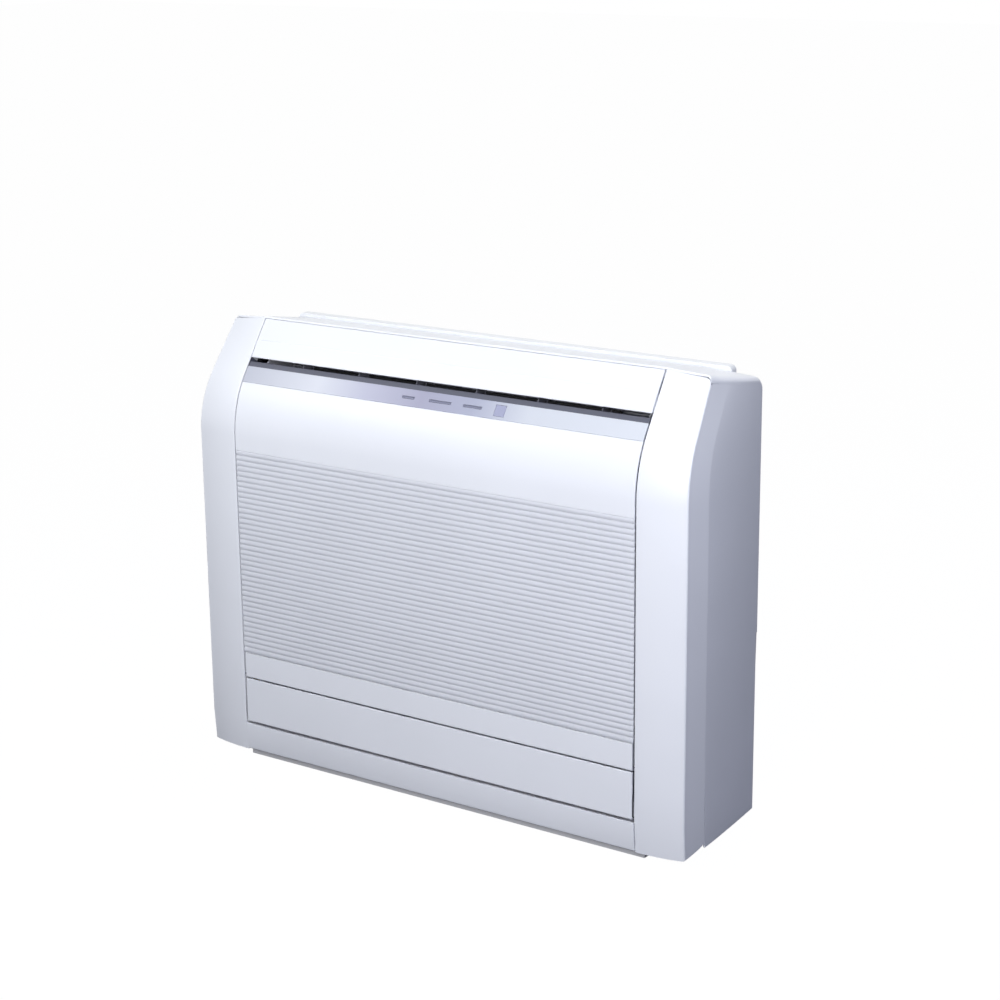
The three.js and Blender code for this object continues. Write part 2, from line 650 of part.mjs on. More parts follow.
const RECEIVER_HALF = RECEIVER_SIZE / 2;
add('ir_receiver_lens', leaningBlock(RECEIVER_X - RECEIVER_HALF, RECEIVER_X + RECEIVER_HALF,
  [-RECEIVER_HALF, RECEIVER_HALF], [0.2, 3.4]), darkGrey);
add('display_board', join(
  leaningBlock(-80, 100, [-9, 9], [3.8, 5.4]),
  leaningBlock(RECEIVER_X - 4, RECEIVER_X + 4, [-4, 4], [5, 9]),
  leaningBlock(-40, -10, [-6, 6], [5, 7.5]),
), boardGreen);

// ---------------------------------------------------------------- filters and inner frame

const FILTER_GAP = 3; // half the space between the two filters
const FILTER_TOP = WINDOW_Z1 - 4;
const FILTER_BORDER = 7;
const MESH_DEPTH = 1.3; // the mesh lies this deep in both faces

function filter(side) {
  const x = span(side, FILTER_GAP, FILTER_HALF);
  const y = [FILTER_Y, FILTER_Y + FILTER_THICK];
  const frame = box(...x, ...y, WINDOW_Z0, FILTER_TOP);
  const panes = [];
  const width = (x[1] - x[0] - FILTER_BORDER) / 3;
  const height = (FILTER_TOP - WINDOW_Z0 - FILTER_BORDER) / 3;
  for (let i = 0; i < 3; i += 1) {
    for (let j = 0; j < 3; j += 1) {
      const px = x[0] + FILTER_BORDER + i * width;
      const pz = WINDOW_Z0 + FILTER_BORDER + j * height;
      const across = [px, px + width - FILTER_BORDER];
      const up = [pz, pz + height - FILTER_BORDER];
      panes.push(box(...across, y[0] - 1, y[0] + MESH_DEPTH, ...up));
      panes.push(box(...across, y[1] - MESH_DEPTH, y[1] + 1, ...up));
    }
  }
  return cut(frame, ...panes);
}

const FRAME_TOP = STRIP_BOTTOM - 10.5;
const SWITCH_X = SEAM_X - 65;
const BUTTON_X = SWITCH_X - 32;
const CONTROL_Z = HEIGHT - 118;
const BUTTON_RADIUS = 5;
const CATCH_X = SEAM_X - 46;
const CATCH_SIZE = 8;
const CATCH_Z = HEIGHT - 138;

function innerFrame() {
  const y = [FRAME_Y, FRAME_Y + WALL];
  const plate = box(-PANEL_HALF, PANEL_HALF, ...y, PANEL_BOTTOM + 4, FRAME_TOP);
  const window = box(-COIL_HALF - 4, COIL_HALF + 4, y[0] - 1, y[1] + 1, WINDOW_Z0, WINDOW_Z1);
  const ribFront = FILTER_Y - 1;
  const channels = SIDES.map(([side]) => box(...span(side, FILTER_HALF + 1, FILTER_HALF + 4), ribFront,
    y[1], WINDOW_Z0 - 4, FILTER_TOP + 2));
  const ledge = box(-FILTER_HALF - 4, FILTER_HALF + 4, ribFront, y[1], WINDOW_Z0 - 5, WINDOW_Z0 - FIT);
  const mullion = box(-FILTER_GAP + 1, FILTER_GAP - 1, ribFront, y[1], WINDOW_Z0 - 4, WINDOW_Z1 + 4);
  const button = rodY(BUTTON_RADIUS + FIT, y[0] - 1, y[1] + 1, BUTTON_X, CONTROL_Z);
  const through = [y[0] - 1, y[1] + 1];
  const slot = box(SWITCH_X - 8, SWITCH_X + 8, ...through, CONTROL_Z - 3.5, CONTROL_Z + 3.5);
  const half = CATCH_SIZE / 2 + FIT;
  const catches = SIDES.map(([side]) => box(...span(side, CATCH_X - half, CATCH_X + half), ...through,
    CATCH_Z - half, CATCH_Z + half));
  return cut(join(cut(plate, window), ...channels, ledge, mullion), button, slot, ...catches);
}

SIDES.forEach(([side, name]) => add(`${name}_air_filter`, filter(side), filterBlue));
add('inner_frame', innerFrame(), white);

// The push button and the slide switch stand in the frame behind the closed panel.
const CONTROL_FRONT = FRAME_Y - 2.5;
const CONTROL_BACK = FRAME_Y + WALL + 3;

add('manual_button', join(
  rodY(BUTTON_RADIUS, CONTROL_FRONT, CONTROL_BACK, BUTTON_X, CONTROL_Z),
  rodY(BUTTON_RADIUS + 1.5, FRAME_Y + WALL + 1.8, CONTROL_BACK, BUTTON_X, CONTROL_Z),
), paleGrey);
add('outlet_selector_switch', join(
  box(SWITCH_X - 5, SWITCH_X + 1, CONTROL_FRONT, CONTROL_BACK, CONTROL_Z - 3, CONTROL_Z + 3),
  box(SWITCH_X - 14, SWITCH_X + 10, FRAME_Y + WALL + FIT, CONTROL_BACK, CONTROL_Z - 6, CONTROL_Z + 6),
), darkGrey);

// The board stands on two posts behind the frame.
const BOARD_X = [BUTTON_X - 16, SWITCH_X + 24];
const POST_Y = [FRAME_Y + WALL + FIT, CONTROL_BACK + 3];
add('control_board', join(
  box(...BOARD_X, CONTROL_BACK + 2.2, CONTROL_BACK + 3.8, CONTROL_Z - 14, CONTROL_Z + 14),
  box(BOARD_X[0], BOARD_X[0] + 4, ...POST_Y, CONTROL_Z - 10, CONTROL_Z + 10),
  box(BOARD_X[1] - 6, BOARD_X[1], ...POST_Y, CONTROL_Z - 10, CONTROL_Z + 10),
), boardGreen);

function panelCatch(side) {
  const half = CATCH_SIZE / 2;
  const front = frontY(CATCH_Z + CATCH_SIZE) + WALL + FIT; // just behind the closed panel
  const x = span(side, CATCH_X - half, CATCH_X + half);
  const wide = span(side, CATCH_X - half - 3, CATCH_X + half + 3);
  return join(box(...x, front, FRAME_Y + WALL + 3, CATCH_Z - half, CATCH_Z + half),
    box(...wide, FRAME_Y + WALL + FIT, FRAME_Y + WALL + 2.5, CATCH_Z - half, CATCH_Z + half));
}

SIDES.forEach(([side, name]) => add(`${name}_panel_catch`, panelCatch(side), paleGrey));

// ---------------------------------------------------------------- coil, drain pan and pipes

const FIN_PITCH = 9;
const SPIGOT = 10; // length of the drain spigot

function finPack() {
  const count = Math.floor((2 * COIL_HALF - 4) / FIN_PITCH);
  const spine = COIL_Y + COIL_THICK - 8;
  const start = -(count * FIN_PITCH) / 2;
  const outline = [[-COIL_HALF, COIL_Y + COIL_THICK], [-COIL_HALF, spine]];
  for (let i = 0; i < count; i += 1) {
    const x = start + (i + 0.5) * FIN_PITCH;
    outline.push([x - 0.8, spine], [x - 0.8, COIL_Y], [x + 0.8, COIL_Y], [x + 0.8, spine]);
  }
  outline.push([COIL_HALF, spine], [COIL_HALF, COIL_Y + COIL_THICK]);
  return alongZ(outline, COIL_Z0, COIL_Z1);
}

const TUBE_RADIUS = 3.5;
const TUBE_PITCH = 25.4;

class ReturnBend extends THREE.Curve {
  constructor(side, y, z) {
    super();
    Object.assign(this, { side, y, z });
  }

  getPoint(t) {
    const turn = -Math.PI / 2 + t * Math.PI;
    const reach = 1.2 + (TUBE_PITCH / 2) * Math.cos(turn);
    return new THREE.Vector3(this.side * (COIL_HALF + reach), this.y,
      this.z + TUBE_PITCH / 2 + (TUBE_PITCH / 2) * Math.sin(turn));
  }
}

function coilEnd(side) {
  const plate = box(...span(side, COIL_HALF + FIT, COIL_HALF + 2), COIL_Y - 1, COIL_Y + COIL_THICK + 1,
    COIL_Z0, COIL_Z1);
  const bends = [];
  const first = COIL_Z0 + 12 + (side > 0 ? TUBE_PITCH : 0);
  for (let z = first; z + TUBE_PITCH < COIL_Z1 - 8; z += 2 * TUBE_PITCH) {
    [0.27, 0.73].forEach((share) => {
      const y = COIL_Y + COIL_THICK * share;
      bends.push(bar(new ReturnBend(side, y, z), TUBE_RADIUS, 6, 5));
    });
  }
  return join(plate, ...bends);
}

function drainPan() {
  const y = [FRAME_Y + WALL + FIT, INLET_Y - FIT];
  const outer = box(-PAN_HALF, PAN_HALF, ...y, PAN_Z0, PAN_Z1);
  const inner = box(-PAN_HALF + 2, PAN_HALF - 2, y[0] + 2, y[1] - 2, PAN_Z0 + 2, PAN_Z1 + 1);
  const ribs = [-0.75, 0, 0.75].map((share) => {
    const x = share * COIL_HALF;
    return box(x - 1.5, x + 1.5, y[0] + 1, y[1] - 1, PAN_Z0 + 1, COIL_Z0 - FIT);
  });
  const middle = (y[0] + y[1]) / 2;
  const spigot = rodX(8, -PAN_HALF - SPIGOT, -PAN_HALF + 1, middle, PAN_Z0 + 9);
  const bore = rodX(6, -PAN_HALF - SPIGOT - 1, -PAN_HALF + 3, middle, PAN_Z0 + 9);
  return cut(join(cut(outer, inner), ...ribs, spigot), bore);
}

const PIPE_X = -SEAM_X - 29;
const GAS_RADIUS = 6;
const LIQUID_RADIUS = 3.5;
const PIPE_END = 78;
const NUT_Z = PIPE_END + 14;

function pipe(radius, y, z, x) {
  const corners = [[-COIL_HALF - 2 - FIT, y, z], [x, y, z], [x, y, PIPE_END]];
  return bar(bentPath(corners, 4 * radius), radius, 8, 14);
}

function flareNut(radius, x, y) {
  const outline = circle(x, y, radius * 1.75, 0, (5 / 3) * Math.PI, 5);
  const bore = circle(x, y, radius + FIT, 0, (11 / 6) * Math.PI, 11);
  return cut(alongZ(outline, NUT_Z, NUT_Z + 3 * radius), alongZ(bore, NUT_Z - 1, NUT_Z + 3 * radius + 1));
}

const GAS_Y = COIL_Y + COIL_THICK * 0.73;
const LIQUID_Y = COIL_Y + COIL_THICK * 0.27;
const LIQUID_X = PIPE_X + 22;

add('coil_fins', finPack(), fins);
SIDES.forEach(([side, name]) => add(`coil_${name}_end`, coilEnd(side), copper));
add('drain_pan', drainPan(), white);
add('gas_pipe', pipe(GAS_RADIUS, GAS_Y, COIL_Z1 - 8, PIPE_X), copper);
add('liquid_pipe', pipe(LIQUID_RADIUS, LIQUID_Y, COIL_Z1 - 20, LIQUID_X), copper);
add('gas_flare_nut', flareNut(GAS_RADIUS, PIPE_X, GAS_Y), brass);
add('liquid_flare_nut', flareNut(LIQUID_RADIUS, LIQUID_X, LIQUID_Y), brass);

// ---------------------------------------------------------------- fan, inlet and motor

const INLET_RADIUS = FAN_RADIUS - 8;
const INLET_NECK = FAN_EYE - 4;
const INLET_EDGE = 2; // thickness of the plate where the horn starts

function inletPlate() {
  const plate = box(-DUCT_HALF, DUCT_HALF, INLET_Y, INLET_Y + WALL, PAN_Z0, INLET_TOP);
  const hole = rodY(INLET_RADIUS, INLET_Y - 1, INLET_Y + WALL + 1, 0, FAN_Z, 40);
  const neckY = FAN_FRONT_Y + 2;
  const horn = turned([
    [INLET_RADIUS + 3, INLET_Y], [INLET_NECK + 14, INLET_Y], [INLET_NECK, INLET_Y + 8],
    [INLET_NECK - 2, INLET_Y + 11], [INLET_NECK - 2, neckY], [INLET_NECK, neckY],
    [INLET_NECK + 3, INLET_Y + 8.5], [INLET_NECK + 16, INLET_Y + INLET_EDGE],
    [INLET_RADIUS + 3, INLET_Y + INLET_EDGE],
  ]);
  return join(cut(plate, hole), horn);
}

const BLADE_COUNT = 7;
const BLADE_INNER = FAN_EYE - 21;
const BLADE_HALF = 1.3; // half the thickness of a blade
const BLADE_LAG = 0.62; // a blade's tip trails its root by this angle

function fanBlade(index) {
  const steps = 5;
  const line = [...Array(steps + 1).keys()].map((i) => {
    const share = i / steps;
    const radius = BLADE_INNER + (FAN_RADIUS - 2 - BLADE_INNER) * share;
    const angle = (index / BLADE_COUNT) * 2 * Math.PI - BLADE_LAG * share;
    return [radius * Math.cos(angle), radius * Math.sin(angle)];
  });
  const offset = (sign) => line.map(([x, z], i) => {
    const [ax, az] = line[Math.max(0, i - 1)];
    const [bx, bz] = line[Math.min(steps, i + 1)];
    const length = Math.hypot(bx - ax, bz - az);
    const [nx, nz] = [(sign * BLADE_HALF * (az - bz)) / length, (sign * BLADE_HALF * (bx - ax)) / length];
    return [x + nx, z + nz + FAN_Z];
  });
  return alongY([...offset(1), ...offset(-1).reverse()], FAN_FRONT_Y + 4, FAN_BACK_Y - 1);
}

const HUB_Y = FAN_BACK_Y - 38; // front of the hub, where the nut sits

function turboFan() {
  const bore = SHAFT_RADIUS + FIT;
  const hub = turned([
    [bore, HUB_Y], [14, HUB_Y], [16, HUB_Y + 4], [34, HUB_Y + 12], [52, FAN_BACK_Y - 10],
    [66, FAN_BACK_Y - 3], [FAN_RADIUS, FAN_BACK_Y - 2.5], [FAN_RADIUS, FAN_BACK_Y],
    [bore, FAN_BACK_Y],
  ]);
  const shroud = turned([
    [FAN_EYE, FAN_FRONT_Y], [FAN_EYE + 2.5, FAN_FRONT_Y], [FAN_EYE + 6, FAN_FRONT_Y + 6],
    [FAN_RADIUS, FAN_FRONT_Y + 15], [FAN_RADIUS, FAN_FRONT_Y + 17.5], [FAN_EYE + 5, FAN_FRONT_Y + 9],
    [FAN_EYE, FAN_FRONT_Y + 3],
  ]);
  const blades = [...Array(BLADE_COUNT).keys()].map(fanBlade);
  const nose = turned([
    [0.01, FAN_FRONT_Y - 6], [FAN_RADIUS + 9, FAN_FRONT_Y - 6], [FAN_RADIUS + 9, FAN_FRONT_Y + 16],
    [FAN_RADIUS, FAN_FRONT_Y + 16], [FAN_EYE + 4, FAN_FRONT_Y + 7], [FAN_EYE, FAN_FRONT_Y + 3],
    [BLADE_INNER - 2, FAN_FRONT_Y + 3], [0.01, FAN_FRONT_Y + 3],
  ]);
  return join(hub, shroud, ...blades.map((blade) => cut(blade, nose)));
}

const MOTOR_RADIUS = 56;
const MOTOR_BORE_DEPTH = 22;

function fanMotor() {
  const bore = SHAFT_RADIUS + FIT;
  return turned([
    [bore, MOTOR_Y], [16, MOTOR_Y], [18, MOTOR_Y + 4], [MOTOR_RADIUS - 6, MOTOR_Y + 6],
    [MOTOR_RADIUS, MOTOR_Y + 12], [MOTOR_RADIUS, MOTOR_Y + MOTOR_THICK - 4],
    [MOTOR_RADIUS - 4, MOTOR_Y + MOTOR_THICK], [bore, MOTOR_Y + MOTOR_THICK],
  ], 32);
}

function motorBracket() {
  const y0 = MOTOR_Y + MOTOR_THICK + FIT;
  const reach = MOTOR_RADIUS + 26;
  const plate = box(-reach, reach, y0, y0 + 2, FAN_Z - 14, FAN_Z + 14)
    .add(box(-14, 14, y0, y0 + 2, FAN_Z - reach, FAN_Z + reach))
    .add(rodY(MOTOR_RADIUS - 10, y0, y0 + 2, 0, FAN_Z, 32));
  const feet = [[reach - 5, 0], [5 - reach, 0], [0, reach - 5], [0, 5 - reach]]
    .map(([x, z]) => rodY(5, y0, CASING_Y - FIT, x, FAN_Z + z, 12));
  return join(plate, ...feet);
}

const SCROLL_GAP = 8; // between the fan and the nearest point of the scroll walls
const SCROLL_STEPS = 10;

// The wall beside the fan, close to it in the middle and opening to both ducts.
function scrollWall(side) {
  const near = FAN_RADIUS + SCROLL_GAP;
  const flare = (DUCT_HALF - WALL - near) / (SCROLL_TOP - FAN_Z) ** 2;
  const heights = [...Array(SCROLL_STEPS + 1).keys()]
    .map((i) => SCROLL_BOTTOM + ((SCROLL_TOP - SCROLL_BOTTOM) * i) / SCROLL_STEPS);
  const wall = (x) => heights.map((z) => [side * (x + flare * (z - FAN_Z) ** 2), z]);
  return alongY([...wall(near), ...wall(near + WALL).reverse()], INLET_Y + WALL + FIT, CASING_Y - FIT);
}

add('inlet_plate', inletPlate(), white);
add('turbo_fan', turboFan(), paleGrey);
add('fan_shaft', rodY(SHAFT_RADIUS, HUB_Y - 14, MOTOR_Y + MOTOR_BORE_DEPTH, 0, FAN_Z, 16), zinc);
add('fan_nut', cut(rodY(8, HUB_Y - 9, HUB_Y - FIT, 0, FAN_Z, 6),
  rodY(SHAFT_RADIUS + FIT, HUB_Y - 10, HUB_Y + 1, 0, FAN_Z, 16)), brass);
add('fan_motor', fanMotor(), zinc);
add('motor_bracket', motorBracket(), zinc);
SIDES.forEach(([side, name]) => add(`${name}_scroll_wall`, scrollWall(side), white));

// ---------------------------------------------------------------- ducts

const DUCT_WALL = 2;
const FLOOR_UP = -3; // straight floor of the upper mouth, up the lean from the strip's top edge
const FLOOR_FROM = 5; // where it starts, into the unit from the front surface
const FLOOR_TO = 46;
const HEEL_RADIUS = 13.5; // relief in the cheeks for the heel of the upper flap

// Each duct is a bent channel: the space inside is cut from the same path drawn wider.
function duct(inner, outer) {
  const half = DUCT_HALF - DUCT_WALL;
  return cut(alongX(outer, -DUCT_HALF, DUCT_HALF), alongX(inner, -half, half));
}

const REAR_GUIDE_Y = CASING_Y - FIT - DUCT_WALL;

// Upright vanes stand on the floor of the upper mouth and share one link bar.
const VANE_COUNT = 6;
const VANE_SPACING = (DUCT_HALF - 18) / 3;
const VANE_XS = [...Array(VANE_COUNT).keys()].map((i) => (i - (VANE_COUNT - 1) / 2) * VANE_SPACING);
const VANE_INTO = 28; // pivot, into the unit
const VANE_CHORD = 22;
const VANE_THICK = 1.6;
const VANE_TOP = 42;
const VANE_PIN = 2;
const LINK_REACH = 10; // from a vane's pivot to its link pin
const LINK_PIN = 1.2;
const NOTCH = [18, 26]; // the link bar passes the vanes here
const LINK_SLOT = 0.6; // side clearance of a link pin

function vane(x) {
  const rear = VANE_INTO + VANE_CHORD / 2;
  const blade = leaningBlock(x - VANE_THICK / 2, x + VANE_THICK / 2, [FLOOR_UP + 0.6, VANE_TOP],
    [VANE_INTO - VANE_CHORD / 2, rear], STRIP_TOP);
  const notch = leaningBlock(x - 5, x + 5, NOTCH, [VANE_INTO + LINK_REACH - 3.5, rear + 1], STRIP_TOP);
  return join(cut(blade, notch),
    leaningRod(LINK_PIN, x, [NOTCH[0] - 1, NOTCH[1] + 1], VANE_INTO + LINK_REACH, 10),
    leaningRod(VANE_PIN, x, [FLOOR_UP - 4, FLOOR_UP + 8], VANE_INTO, 12));
}

function vaneLink() {
  const end = VANE_XS[VANE_COUNT - 1] + 14;
  const near = VANE_INTO + LINK_REACH - 2.1;
  const middle = (NOTCH[0] + NOTCH[1]) / 2;
  const link = leaningBlock(-end, end, [middle - 1.5, middle + 1.5], [near, near + 6], STRIP_TOP);
  const half = LINK_PIN + LINK_SLOT;
  const slots = VANE_XS.map((x) => leaningBlock(x - half, x + half, [middle - 3, middle + 3],
    [near - 1, VANE_INTO + LINK_REACH + LINK_PIN + 0.4], STRIP_TOP));
  return cut(link, ...slots);
}

function upperDuct() {
  const low = [onLean(STRIP_TOP, FLOOR_UP, FLOOR_FROM), onLean(STRIP_TOP, FLOOR_UP, FLOOR_TO)];
  const inletFront = INLET_Y + WALL + FIT + DUCT_WALL;
  const floor = SCROLL_TOP + FIT;
  const G = REAR_GUIDE_Y;
  const roofFront = onLean(HEIGHT - 6, 0, FLAP_THICK + 2);
  const guide = [roofFront, [roofFront[0] + 28, topZ(roofFront[0] + 28) - 10],
    [G - 40, HEIGHT - 32], [G - 18, HEIGHT - 57], [G - 6, HEIGHT - 88], [G, floor + 8]];
  const inner = [
    low[0], low[1], [inletFront, floor + 14], [inletFront, floor - 1], [G, floor - 1],
    ...guide.reverse(),
  ];
  const out = [
    [low[0][0] - 0.6, low[0][1] - DUCT_WALL], [low[1][0] - DUCT_WALL, low[1][1] - DUCT_WALL],
    [inletFront - DUCT_WALL, floor + 14], [inletFront - DUCT_WALL, floor], [G + DUCT_WALL, floor],
    [G + DUCT_WALL, floor + 9], [G - 4, HEIGHT - 86.5], [G - 16, HEIGHT - 55], [G - 38.5, HEIGHT - 30],
    [roofFront[0] + 29, topZ(roofFront[0] + 29) - 10 + DUCT_WALL], [roofFront[0], roofFront[1] + DUCT_WALL],
  ];
  const mouth = [low[0], [low[0][0] - 20, low[0][1] + 8], [roofFront[0] - 20, roofFront[1] + 8], roofFront];
  const holes = VANE_XS.map((x) => leaningRod(VANE_PIN + FIT, x, [FLOOR_UP - 6, FLOOR_UP + 1], VANE_INTO));
  const heel = rodX(HEEL_RADIUS, -DUCT_HALF - 1, DUCT_HALF + 1, ...UPPER_AXIS, 32);
  const half = DUCT_HALF - DUCT_WALL;
  return cut(duct(inner, out), alongX(mouth, -half, half), heel, ...holes);
}

// A rod up the lean, at a depth into the unit measured from the strip's top edge.
function leaningRod(radius, x, up, into, sides = 16) {
  const geometry = new THREE.CylinderGeometry(radius, radius, up[1] - up[0], sides);
  const [y, z] = onLean(STRIP_TOP, (up[0] + up[1]) / 2, into);
  return solid(geometry.rotateX(Math.PI / 2 - LEAN).translate(x, y, z));
}

function lowerDuct() {
  const mouthY = LOWER_AXIS[0] + 9;
  const floorZ = LOWER_FLAP_Z0 - 9;
  const roofZ = PAN_Z0 - FIT - DUCT_WALL;
  const top = SCROLL_BOTTOM - FIT;
  const inletFront = INLET_Y + WALL + FIT + DUCT_WALL;
  const G = REAR_GUIDE_Y;
  const inner = [
    [mouthY - 1, floorZ], [G - 62, floorZ - 2], [G - 36, floorZ + 5], [G - 16, floorZ + 22],
    [G - 4, floorZ + 50], [G, top + 1], [inletFront, top + 1], [inletFront, roofZ], [mouthY - 1, roofZ],
  ];
  const out = [
    [mouthY, floorZ - DUCT_WALL], [G - 62, floorZ - 2 - DUCT_WALL], [G - 35, floorZ + 5 - DUCT_WALL],
    [G - 14, floorZ + 21], [G - 2, floorZ + 50], [G + DUCT_WALL, top], [inletFront - DUCT_WALL, top],
    [inletFront - DUCT_WALL, roofZ + DUCT_WALL], [mouthY, roofZ + DUCT_WALL],
  ];
  return duct(inner, out);
}

add('upper_outlet_duct', upperDuct(), darkGrey);
add('lower_outlet_duct', lowerDuct(), darkGrey);
VANE_XS.forEach((x, i) => add(`upper_vane_${i + 1}`, vane(x), paleGrey));
add('vane_link', vaneLink(), paleGrey);

// ---------------------------------------------------------------- electrics

// The box stands in the right wing, open to the front under its own cover.
const BOX_X = [SEAM_X + 5, HALF - 8];
const BOX_Y = [INLET_Y, CASING_Y - FIT];
const BOX_Z = [PAN_Z1 + 14, UPRIGHT_TOP - 22];
const BOX_WALL = 2;

function electricalBox() {
  const outer = box(...BOX_X, ...BOX_Y, ...BOX_Z);
  const inner = box(BOX_X[0] + BOX_WALL, BOX_X[1] - BOX_WALL, BOX_Y[0] - 1, BOX_Y[1] - BOX_WALL,
    BOX_Z[0] + BOX_WALL, BOX_Z[1] - BOX_WALL);
  return cut(outer, inner);
}

function mainBoard() {
  const x = BOX_X[1] - BOX_WALL - FIT;
  const front = x - 1.6;
  const board = box(front, x, BOX_Y[0] + 6, BOX_Y[1] - 8, BOX_Z[0] + 10, BOX_Z[1] - 10);
  // height off the board, then the ranges of y and z as shares of the box
  const parts = [
    [26, 0.15, 0.37, 0.11, 0.26], [18, 0.48, 0.67, 0.11, 0.2], [14, 0.12, 0.3, 0.37, 0.52],
    [30, 0.45, 0.66, 0.38, 0.49], [10, 0.16, 0.6, 0.63, 0.68], [20, 0.69, 0.84, 0.7, 0.8],
    [8, 0.15, 0.36, 0.79, 0.86],
  ];
  const at = ([from, to], share) => from + (to - from) * share;
  return join(board, ...parts.map(([rise, y0, y1, z0, z1]) => box(
    front - rise, x - 1, at(BOX_Y, y0), at(BOX_Y, y1), at(BOX_Z, z0), at(BOX_Z, z1))));
}

function terminalBlock() {
  const top = BOX_Z[0] - FIT;
  const front = BOX_Y[0] + 10;
  const block = box(BOX_X[0] + 8, BOX_X[1] - 8, front, front + 40, top - 24, top);
  const bays = [0, 1, 2, 3].map((i) => {
    const x = BOX_X[0] + 10.5 + i * 9.6;
    return box(x, x + 7, front - 1, front + 14, top - 18, top - 5);
  });
  return cut(block, ...bays);
}

add('electrical_box', electricalBox(), zinc);
add('electrical_box_cover', box(...BOX_X, BOX_Y[0] - FIT - BOX_WALL, BOX_Y[0] - FIT, ...BOX_Z), zinc);
add('main_circuit_board', mainBoard(), boardGreen);
add('terminal_block', terminalBlock(), darkGrey);

export default group;
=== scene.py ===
# %% [markdown]
# # A floor standing air conditioner
# This is the white indoor unit that stands on the floor under a window. Its outer form is simple to
# say: one side profile, upright at the bottom and leaning back at the top, runs across the whole
# front. Two wings carry the same profile round the corners. So the lesson first writes that profile
# down as a few functions, and then every outer moulding is a grid of points laid on it.
#
# The frame gives the exact place of each part, in metres. The dimensions below are in millimetres.

import json
import math

import bmesh
import bpy
from mathutils import Matrix, Vector

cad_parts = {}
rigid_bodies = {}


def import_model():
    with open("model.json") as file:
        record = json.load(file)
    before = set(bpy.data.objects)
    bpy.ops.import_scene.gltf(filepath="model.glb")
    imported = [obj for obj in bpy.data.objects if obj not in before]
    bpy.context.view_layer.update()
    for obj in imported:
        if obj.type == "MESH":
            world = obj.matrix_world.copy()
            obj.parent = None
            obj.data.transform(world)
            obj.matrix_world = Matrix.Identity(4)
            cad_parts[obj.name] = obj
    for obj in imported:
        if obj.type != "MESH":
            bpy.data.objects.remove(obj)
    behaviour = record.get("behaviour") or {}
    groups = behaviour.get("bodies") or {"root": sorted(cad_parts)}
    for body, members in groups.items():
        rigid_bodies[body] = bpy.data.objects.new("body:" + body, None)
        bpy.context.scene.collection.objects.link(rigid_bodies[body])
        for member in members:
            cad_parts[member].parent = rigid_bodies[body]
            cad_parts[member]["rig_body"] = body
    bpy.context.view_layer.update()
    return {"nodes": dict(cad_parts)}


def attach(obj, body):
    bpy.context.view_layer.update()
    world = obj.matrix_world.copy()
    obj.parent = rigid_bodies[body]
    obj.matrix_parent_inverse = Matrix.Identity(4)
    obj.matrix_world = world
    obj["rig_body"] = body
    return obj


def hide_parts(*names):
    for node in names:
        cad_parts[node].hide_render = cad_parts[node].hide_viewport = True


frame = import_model()
nodes = frame["nodes"]
MM = 0.001

# %% [markdown]
# ## The camera and the studio
# The photograph looks at the unit from the right of its front and from above it, with a long lens.
# The angles were found by fitting a camera to the unit's edges. A small vertical shift keeps the
# upright edges nearly parallel, as the photograph shows them.

# %% Camera
CAMERA_PLACE = (1.3811, -2.1034, 1.148)
CAMERA_TURN = (75.913, 0.557, 32.157)
LENS = 73.14
SHIFT_Y = -0.1

camera = bpy.data.objects.new("camera", bpy.data.cameras.new("camera"))
bpy.context.scene.collection.objects.link(camera)
camera.location = CAMERA_PLACE
camera.rotation_euler = [math.radians(a) for a in CAMERA_TURN]
camera.data.lens = LENS
camera.data.sensor_width = 36
camera.data.shift_y = SHIFT_Y
camera.data.clip_start = 0.05
camera.data.clip_end = 60
bpy.context.scene.camera = camera
bpy.context.scene.view_settings.view_transform = "Standard"
print("camera", CAMERA_PLACE, "lens", LENS)

# %% [markdown]
# The light comes from above and from the front, so that the top and the upper front are the
# brightest and the lower front is softer. The right side lies in a cool shade, which a small lamp
# beside it lifts a little. All lamps are discs, for soft edges. The world is a weak blue sky for the
# object, and plain white where the camera or a reflection sees it.

# %% Lamps and world


def area_lamp(name, place, aim, size, power, colour=(1, 1, 1)):
    lamp = bpy.data.lights.new(name, "AREA")
    lamp.shape = "DISK"
    lamp.size = size
    lamp.energy = power
    lamp.color = colour
    holder = bpy.data.objects.new(name, lamp)
    bpy.context.scene.collection.objects.link(holder)
    holder.location = place
    holder.rotation_euler = (Vector(aim) - Vector(place)).to_track_quat("-Z", "Y").to_euler()
    holder.visible_camera = False
    return holder


MIDDLE = (0, -0.05, 0.35)
area_lamp("key_lamp", (0.5, -1.7, 1.02), MIDDLE, 0.7, 18.6)
area_lamp("left_lamp", (-0.7, -0.9, 1.1), MIDDLE, 0.5, 6.0, (0.92, 0.95, 1.0))
area_lamp("top_lamp", (0, 0.8, 2.4), MIDDLE, 0.9, 27)
area_lamp("side_lamp", (1.1, -0.6, 0.95), (0.37, 0, 0.35), 0.3, 6.2, (0.82, 0.85, 1.0))

